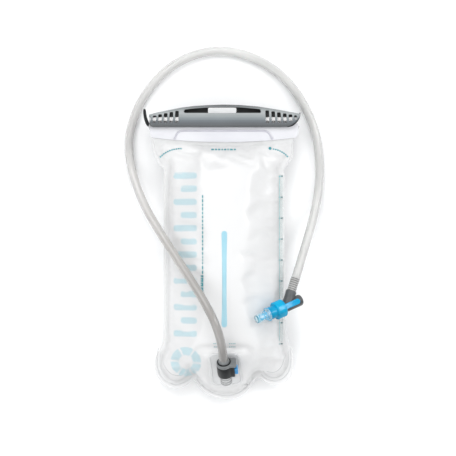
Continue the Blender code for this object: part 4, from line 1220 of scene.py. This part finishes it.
def rail_piece(name, side, node):
    """Frosted band with rounded ends and a fat bead, drawn along the closure."""
    xs = np.linspace(-81.6, 81.7, 90)
    verts, m = [], 0
    for x in xs:
        end = min(x + 81.6, 81.7 - x)
        round_end = max(0.0, 4.0 - end)
        lo = band_low(x) + (4.0 - math.sqrt(max(0.0, 16.0 - round_end ** 2)))
        sec = [(lo, 1.4), (lo + 0.3, 1.25), (142, 1.25), (142, 0.25), (142.6, 0.2), (148.2, 0.2), (149, 0.8), (149, 3.4),
               (148.6, 5.4), (147.6, 6.2), (144.9, 6.2), (143.9, 5.4), (143.5, 2.45), (142, 2.45), (lo + 5.0, 2.45), (lo + 1.0, 1.95), (lo + 0.2, 1.7)]
        m = len(sec)
        verts += [(x, yy, 30.0 + side * z) for yy, z in sec]
    n = len(xs)
    faces = [tuple(range(m)), tuple(range((n - 1) * m, n * m))[::-1]]
    for k in range(n - 1):
        for j in range(m):
            j2 = (j + 1) % m
            faces.append((k * m + j, k * m + j2, (k + 1) * m + j2, (k + 1) * m + j))
    ob = add(name, verts, faces, [M_RAIL, M_BEAD])
    for f in ob.data.polygons:
        f.material_index = int(f.center.y > 142.0 * MM and len(f.vertices) == 4)
    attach(ob, "bladder")
    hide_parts(node)
    return ob


rail_piece("front_band", 1, "front_rail")
rail_piece("rear_band", -1, "rear_rail")
emb = catmull([(-54.5, 124.6), (-52.5, 129.0), (-50.0, 132.3), (-45.5, 133.6), (-30, 133.8), (0, 133.9), (30, 133.8),
               (44.5, 133.4), (48.5, 131.8), (51.0, 128.4), (53.4, 124.4)], 8)
emboss = tube_mesh("band_embossed_line", [(x, y, 32.45) for x, y in emb], 1.0, M_EMBOSS, sides=10)
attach(emboss, "bladder")

# ------------------------------------------------------------------ slide closure
TOP_EDGE = [(-82.2, 151.6), (-72, 154.2), (-60, 156.6), (-48, 159.0), (-34, 160.8), (-19, 161.9), (0, 162.5),
            (19, 162.0), (37, 160.4), (51, 158.3), (62, 156.4), (72, 154.6), (81.5, 152.9), (83.9, 152.3)]
LOW_EDGE = [(-82.2, 141.2), (-81.4, 139.4), (-80.0, 138.2), (-78.0, 137.6), (67.0, 137.6), (71.5, 138.1), (75.0, 139.6), (78.2, 141.8),
            (80.6, 144.8), (82.4, 147.6), (83.5, 150.2), (83.9, 151.6)]


def edge_y(table, x):
    return float(np.interp(x, [p[0] for p in table], [p[1] for p in table]))


WINDOWS = [-81.9, -76.2, -70.2, -64.1, -57.9, -51.7, 47.6, 54.1, 60.4, 66.8, 73.0, 78.6]


def slider_piece():
    xs = sorted(set([-82.2, -82.0, -81.4, -80.6, -79.4, -78.0] + list(np.linspace(-76, 66, 60)) + [68, 70, 72, 74, 76, 78, 79.5, 81, 82.2, 83.1, 83.6, 83.9]))
    verts = []
    for x in xs:
        lo, hi = edge_y(LOW_EDGE, x), edge_y(TOP_EDGE, x)
        h = hi - lo
        end = min(1.0, max(0.0, (x + 82.2) / 1.5), max(0.0, (83.9 - x) / 1.5))
        inset = 1.1 * (1 - math.sqrt(max(0.0, 1 - (1 - end) ** 2)))
        front = [(lo + 0.02 * h, 6.3), (lo + 0.03 * h, 7.4), (lo + 0.06 * h, 8.1), (lo + 0.12 * h, 8.7), (lo + 0.30 * h, 9.15), (lo + 0.5 * h, 9.2),
                 (lo + 0.70 * h, 8.8), (lo + 0.86 * h, 8.0), (lo + 0.95 * h, 7.0), (lo + 0.99 * h, 6.0)]
        front = [(yy, z - inset) for yy, z in front]
        sec = front + [(hi, 5.0 - inset), (hi, -5.0 + inset)] + [(yy, -z) for yy, z in front[::-1]] + [(lo, -5.2 + inset), (lo, 5.2 - inset)]
        verts += [(x, yy, 30.0 + z) for yy, z in sec]
    m, n = len(sec), len(xs)
    faces = [tuple(range(m)), tuple(range((n - 1) * m, n * m))[::-1]]
    for k in range(n - 1):
        for j in range(m):
            j2 = (j + 1) % m
            faces.append((k * m + j, k * m + j2, (k + 1) * m + j2, (k + 1) * m + j))
    ob = add("slider", verts, faces, [M_GREY, M_SLIDER_SHADE])
    # the cut faces take the near-black painted shade material
    tools = []

    def tool(outline, lo, hi, fr=None):
        t = prism("tool", outline, lo, hi, M_SLIDER_SHADE, fr, smooth=False)
        tools.append(t)
        return t

    tool([(-95, 141.1), (95, 141.1), (95, 150.0), (-95, 150.0)], 23.5, 36.5)
    tool([(-95, 130), (95, 130), (95, 141.6), (-95, 141.6)], 26.5, 33.5)
    rec = [(x, min(edge_y(TOP_EDGE, x) - 2.8, 159.7)) for x in np.linspace(39.6, -42.9, 24)]
    rec = [(-42.9, 153.1), (39.6, 153.1), (40.7, 154.2)] + rec + [(-44.0, 155.0), (-44.0, 154.2)]
    tool(rec, 25.0, 45.0)
    tool(pill(-17.6, 153.1, 13.6, 159.7, 1.6, 5), 10, 50)
    for x in WINDOWS:
        top = edge_y(TOP_EDGE, x) - 2.9
        lean = 0.05 * (1 if x < 0 else -1)
        low = 142.2 if x < 70 else 143.6 if x < 75 else 145.8
        w = 2.0 if abs(x) < 77 else 1.5
        tool([(x - w + 0.9 - lean * 6, low), (x + w - 0.9 - lean * 6, low), (x + w - lean * 5, low + 0.9), (x + w + lean * 5, top - 0.7),
              (x + w - 0.7 + lean * 5, top), (x - w + 0.7 + lean * 5, top), (x - w + lean * 5, top - 0.7), (x - w - lean * 5, low + 0.9)], 33.2, 46)
    boolean(ob, tools)
    return finish_mesh(ob, 32)


slider = slider_piece()
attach(slider, "slider")
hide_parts("slider_body")

rim = catmull([(83.4, 153.4, 35.0), (83.2, 150.6, 36.0), (81.6, 146.6, 37.2), (78.4, 142.2, 37.6), (74.6, 139.4, 37.0), (69.5, 138.0, 36.2)], 8)
end_rim = tube_mesh("slider_end_rim", rim, lambda run: 0.55 + 0.25 * math.sin(math.pi * min(1, run / 24)), M_BLACK, sides=12)
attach(end_rim, "slider")

FIN = [(-82.6, 139.6), (-82.6, 143.0), (-83.6, 145.4), (-84.9, 149.0), (-85.5, 152.4), (-85.9, 155.8), (-86.3, 157.4), (-87.5, 157.9), (-88.4, 157.0),
       (-88.7, 155.2), (-88.5, 151.6), (-88.0, 148.2), (-87.2, 144.8), (-86.2, 142.0), (-85.2, 140.0), (-84.2, 138.9), (-83.2, 138.8)]
fin = prism("thumb_fin", FIN, 21.5, 38.4, M_BLACK)
bevel(fin, 0.5, 3, 50)
finish_mesh(fin, 40)
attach(fin, "slider")
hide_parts("slider_end_tab")

# ------------------------------------------------------------------ outlet


def lobe(r, reach, half, steps=48, c=1.6, corner=5):
    start = math.asin(half / r)
    out = [(r * math.cos(start + (2 * math.pi - 2 * start) * k / steps),
            r * math.sin(start + (2 * math.pi - 2 * start) * k / steps)) for k in range(steps + 1)]
    ear = [(reach - c + c * math.sin(math.radians(90 * k / corner)), -half + c - c * math.cos(math.radians(90 * k / corner))) for k in range(corner + 1)]
    return out + ear + [(p, -q) for p, q in ear[::-1]]


CF = (PORT_C, PORT_S, PORT_N, PORT_A)
plate_low = -AXIS_LIFT + GAP


def outlet_piece():
    plate = prism("outlet_plate", pill(-17.3, -27.0, 17.0, 22.5, 6.5, 8), plate_low, plate_low + 1.3, M_CLEAR, (PORT_C, PORT_S, PORT_A, PORT_N))
    bevel(plate, 0.5, 2, 50)
    stem = turned("stem", rounded_profile([(plate_low + 0.5, 0), (plate_low + 0.5, 10.5), (plate_low + 1.7, 10.0), (plate_low + 2.2, 8.4), (-4.5, 7.2), (-2.0, 6.4), (-1.0, 4.0), (-1.0, 0)], 0.8, 3),
                  PORT_C - PORT_A * 8.0, PORT_N, M_CLEAR, seg=56)
    nip = turned("nip", rounded_profile([(-15.0, 0), (-15.0, 4.8), (-14.0, 6.2), (-12.4, 6.2), (-12.2, 4.9), (-10.8, 4.9), (-10.6, 6.2), (-9.2, 6.2), (-9.0, 4.9), (-7.6, 4.9),
                                         (-7.4, 6.2), (-5.6, 6.2), (-5.4, 4.9), (-4.0, 4.9), (-3.8, 6.2), (-1.6, 6.2), (-0.4, 5.6), (-0.4, 4.4), (4.2, 4.4), (4.2, 3.55), (5.8, 3.55), (5.8, 4.4), (6.3, 4.3),
                                         (7.0, 2.8), (10.5, 2.8), (10.5, 0)], 0.3, 2), PORT_C, PORT_A, M_CLEAR, seg=56)
    boolean(plate, [stem, nip], "UNION")
    way = turned("way", [(-8.0, 0), (-8.0, 1.9), (15, 1.9), (15, 0)], PORT_C, PORT_A, M_CLEAR, seg=24)
    inlet = turned("inlet", [(plate_low - 4, 0), (plate_low - 4, 4.4), (-3.5, 4.4), (0.3, 1.8), (0.3, 0)], PORT_C - PORT_A * 8.0, PORT_N, M_CLEAR, seg=24)
    boolean(plate, [way, inlet])
    return finish_mesh(plate, 30)


outlet = outlet_piece()
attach(outlet, "bladder")
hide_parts("port_base")
# painted shade: grey rings laid in the outlet nipple's grooves
M_GROOVE_SHADE, _p = principled("painted_groove_shade_grey", (0.30, 0.305, 0.305), 0.25, Alpha=0.85)
vary_color(M_GROOVE_SHADE, _p, (0.26, 0.265, 0.265), (0.36, 0.365, 0.365), 120.0)
for k, t in enumerate((-1.4, -4.7, -8.3, -11.6)):
    loop = [tuple(PORT_C + PORT_A * t + PORT_S * (5.75 * math.cos(2 * math.pi * i / 40)) + PORT_N * (5.75 * math.sin(2 * math.pi * i / 40))) for i in range(40)]
    ring = tube_mesh("outlet_groove_shade_%d" % (k + 1), loop, 0.62, M_GROOVE_SHADE, sides=10, close=True)
    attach(ring, "bladder")
po = PORT_C - PORT_A * 2.25 + PORT_N * (plate_low + 1.25)
outline = pill(-15.2, -22.6, 14.9, 22.6, 5.6, 8)
ring_pts = [tuple(po + PORT_S * u + PORT_A * w) for u, w in outline]
plate_weld = tube_mesh("outlet_weld_line", ring_pts, 0.4, M_WELD, sides=8, close=True)
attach(plate_weld, "bladder")

# ------------------------------------------------------------------ quick connector
body = prism("quick_connector", lobe(8.5, 10.7, 5.8), 0.0, 14.0, M_CONN, CF)
bevel(body, 0.7, 3, 50)
boolean(body, [turned("b", [(-3, 0), (-3, 4.8), (6.9, 4.8), (6.9, 3.1), (8.2, 3.1), (8.2, 4.8), (17, 4.8), (17, 0)], PORT_C, PORT_A, M_CONN, seg=40),
               prism("s", lobe(7.4, 20, 3.9, 30, 0.4, 2), 1.9, 3.7, M_CONN, CF, smooth=False),
               prism("p", pill(1.4, -4.3, 10.6, 4.3, 1.5, 5), 8.6, 20, M_CONN, (PORT_C, PORT_A, -PORT_N, PORT_S), smooth=False),
               turned("q", [(5.7, 0), (5.7, 1.6), (9.5, 1.6), (9.5, 0)], PORT_C + PORT_A * 6.6, PORT_S, M_CONN, seg=20)])
finish_mesh(body, 30)
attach(body, "connector")
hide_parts("connector_body")

cap = prism("connector_cap_ring", lobe(8.4, 13.1, 5.9), 14.3, 18.8, M_CAP, CF)
bevel(cap, 0.8, 3, 50)
barb = [(16.5, 0), (16.5, 3.5)]
t = 19.6
while t < 31.0:
    barb += [(t, 3.0), (t + 0.4, 3.72), (t + 2.2, 3.1)]
    t += 2.8
barb += [(32.4, 3.0), (33.4, 2.7), (33.4, 0)]
boolean(cap, [turned("b", barb, PORT_C, PORT_A, M_CAP, seg=40)], "UNION")
boolean(cap, [turned("w", [(10, 0), (10, 4.5), (16.4, 4.5), (17.6, 2.2), (40, 2.2), (40, 0)], PORT_C, PORT_A, M_CAP, seg=32),
              turned("g", [(17.4, 6.2), (17.4, 7.5), (20, 7.5), (20, 6.2)], PORT_C, PORT_A, M_CAP, seg=64)])
finish_mesh(cap, 30)
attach(cap, "connector")
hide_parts("connector_cap")
collar_ring = turned("hose_grip_ring", rounded_profile([(18.9, 5.25), (18.9, 6.2), (20.6, 6.1), (23.0, 5.4), (23.0, 5.15)], 0.3, 2), PORT_C, PORT_A, M_CAP, seg=64)
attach(collar_ring, "connector")
# painted shade: a near-black ring laid in the cap's groove round the tube
groove_shade_ring = turned("cap_groove_shade_ring", rounded_profile([(17.45, 6.3), (17.45, 7.45), (18.9, 7.45), (19.7, 7.15), (19.7, 6.5), (19.2, 6.3)], 0.25, 3), PORT_C, PORT_A, M_BLACK, seg=64)
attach(groove_shade_ring, "connector")

coil_pts = []
for k in range(0, 4 * 24 + 1):
    f = 2 * math.pi * k / 24
    q = PORT_C + PORT_A * 6.6 + PORT_S * (5.95 + 0.24 + 3.47 * k / 96) + PORT_A * (1.1 * math.cos(f)) + PORT_N * (1.1 * math.sin(f))
    coil_pts.append(tuple(q))
spring = tube_mesh("button_coil", coil_pts, 0.22, M_STEEL, sides=10)
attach(spring, "connector")
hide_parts("button_spring")
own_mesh(spring)

button = prism("thumb_button", pill(1.8, -4.0, 10.2, 4.0, 1.4, 6), 10.2, 14.3, M_BTN, (PORT_C, PORT_A, -PORT_N, PORT_S))
bevel(button, 1.1, 3, 50)
finish_mesh(button, 30)
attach(button, "button")
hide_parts("release_button")

# ------------------------------------------------------------------ drink valve


def elbow_piece():
    main = turned("drink_elbow", rounded_profile([(0, 0), (0, 4.6), (0.5, 5.8), (1.8, 6.3), (23.4, 6.3), (23.4, 4.6), (29.0, 4.6), (29.0, 3.8),
                                                  (30.8, 3.8), (30.8, 4.6), (40.6, 4.6), (40.6, 0)], 0.5, 3), VALVE_0, V_A, M_ELBOW, seg=64)
    brb = [(BRANCH_LEN, 3.2)]
    t = BRANCH_LEN + 0.8
    while t < BRANCH_LEN + 13.0:
        brb += [(t, 3.0), (t + 0.4, 3.72), (t + 1.9, 3.1)]
        t += 2.35
    prof = rounded_profile([(0, 0), (0, 5.9), (BRANCH_LEN - 5.0, 5.7), (BRANCH_LEN - 0.6, 6.0), (BRANCH_LEN, 5.6), (BRANCH_LEN, 3.2)], 0.5, 3)[:-1] + brb + [(BRANCH_LEN + 15.4, 2.7), (BRANCH_LEN + 15.4, 0)]
    boolean(main, [turned("b", prof, BRANCH, BRANCH_DIR, M_ELBOW, seg=56)], "UNION")
    boolean(main, [turned("w", [(BRANCH_AT - 2.0, 0), (BRANCH_AT - 2.0, 2.4), (50, 2.4), (50, 0)], VALVE_0, V_A, M_ELBOW, seg=24),
                   turned("v", [(0, 0), (0, 2.2), (50, 2.2), (50, 0)], BRANCH, BRANCH_DIR, M_ELBOW, seg=24)])
    return finish_mesh(main, 30)


elbow = elbow_piece()
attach(elbow, "connector")
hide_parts("valve_elbow")


def grip(t, r, f):
    """Shallow flutes round the twist collar."""
    if r > 9.0 and 25.0 < t < 34.0:
        return r - 0.35 * (0.5 + 0.5 * math.cos(f * 8))
    return r


collar = turned("twist_collar", rounded_profile([(23.9, 4.9), (23.9, 9.4), (24.8, 10.1), (27, 10.2), (29.5, 10.2), (32, 10.2), (34.2, 10.1), (35.0, 9.3), (35.0, 6.95),
                                                 (39, 6.95), (42.3, 6.95), (42.7, 6.5), (42.7, 4.9)], 0.45, 3), VALVE_0, V_A, M_BLUE, hint=Vector((0, 0, 1)), seg=96, wobble=grip)
arm_outline = [(3.1 * math.cos(math.radians(a)), 8.6 + 3.1 * math.sin(math.radians(a))) for a in range(180, 361, 12)]
arm = prism("arm", arm_outline + [(3.1, 26.0), (-3.1, 26.0)], 6.55, 8.6, M_BLUE, (VALVE_0, ARM_SIDE, V_A, ARM_UP), smooth=False)
bevel(arm, 0.5, 2, 50)
boolean(collar, [arm], "UNION")
finish_mesh(collar, 30)
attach(collar, "valve_head")
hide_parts("valve_collar")

core = turned("valve_spout", rounded_profile([(41.0, 2.3), (41.0, 4.5), (42.4, 4.5), (42.4, 3.3), (46.0, 3.3), (50.0, 3.2), (53.5, 3.1), (54.2, 2.7), (54.2, 1.6), (43.2, 1.6)], 0.25, 2),
              VALVE_0, V_A, M_CORE, seg=48)
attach(core, "valve_head")
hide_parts("valve_core")

sheath = turned("bite_mouthpiece", rounded_profile([(43.0, 3.6), (43.0, 7.4), (43.5, 7.8), (45.9, 7.8), (46.5, 7.2), (47.2, 5.1), (48.4, 4.7), (49.8, 4.75), (51.0, 5.05),
                                                    (53.5, 5.25), (56.0, 5.15), (58.2, 4.6), (59.2, 3.5), (59.4, 2.4), (59.4, 1.0), (56.5, 1.0), (55.0, 3.6)], 0.4, 3),
                VALVE_0, V_A, M_SHEATH, seg=64)
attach(sheath, "valve_head")
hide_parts("bite_sheath")

# painted shade: a dark teal ring at the tip where the bite slit opens
M_SLIT_SHADE, _p = principled("bite_slit", (0.02, 0.20, 0.28), 0.25, Alpha=0.85)
vary_color(M_SLIT_SHADE, _p, (0.015, 0.16, 0.23), (0.04, 0.28, 0.36), 160.0)
for name, t, r, thick in (("bite_slit_shade_ring", 58.6, 4.05, 0.42), ("bite_throat_ring", 47.4, 4.9, 0.35), ("bite_base_ring", 43.6, 7.45, 0.4)):
    loop = [tuple(VALVE_0 + V_A * t + ARM_SIDE * (r * math.cos(2 * math.pi * i / 40)) + ARM_UP * (r * math.sin(2 * math.pi * i / 40))) for i in range(40)]
    lip = tube_mesh(name, loop, thick, M_SLIT_SHADE if name == "bite_slit_shade_ring" else M_CORE, sides=10, close=True)
    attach(lip, "valve_head")

# ------------------------------------------------------------------ CAD nodes that keep their shape
for node, mat in (("baffle_strip_front", M_STRIP), ("baffle_strip_rear", M_STRIP), ("port_o_ring", M_RUBBER), ("valve_o_ring", M_RUBBER),
                  ("poppet_seal", M_RUBBER), ("poppet_spring", M_STEEL), ("latch_plate", M_STEEL), ("shutoff_poppet", M_CLEAR)):
    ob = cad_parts[node]
    ob.data.materials.clear()
    ob.data.materials.append(mat)
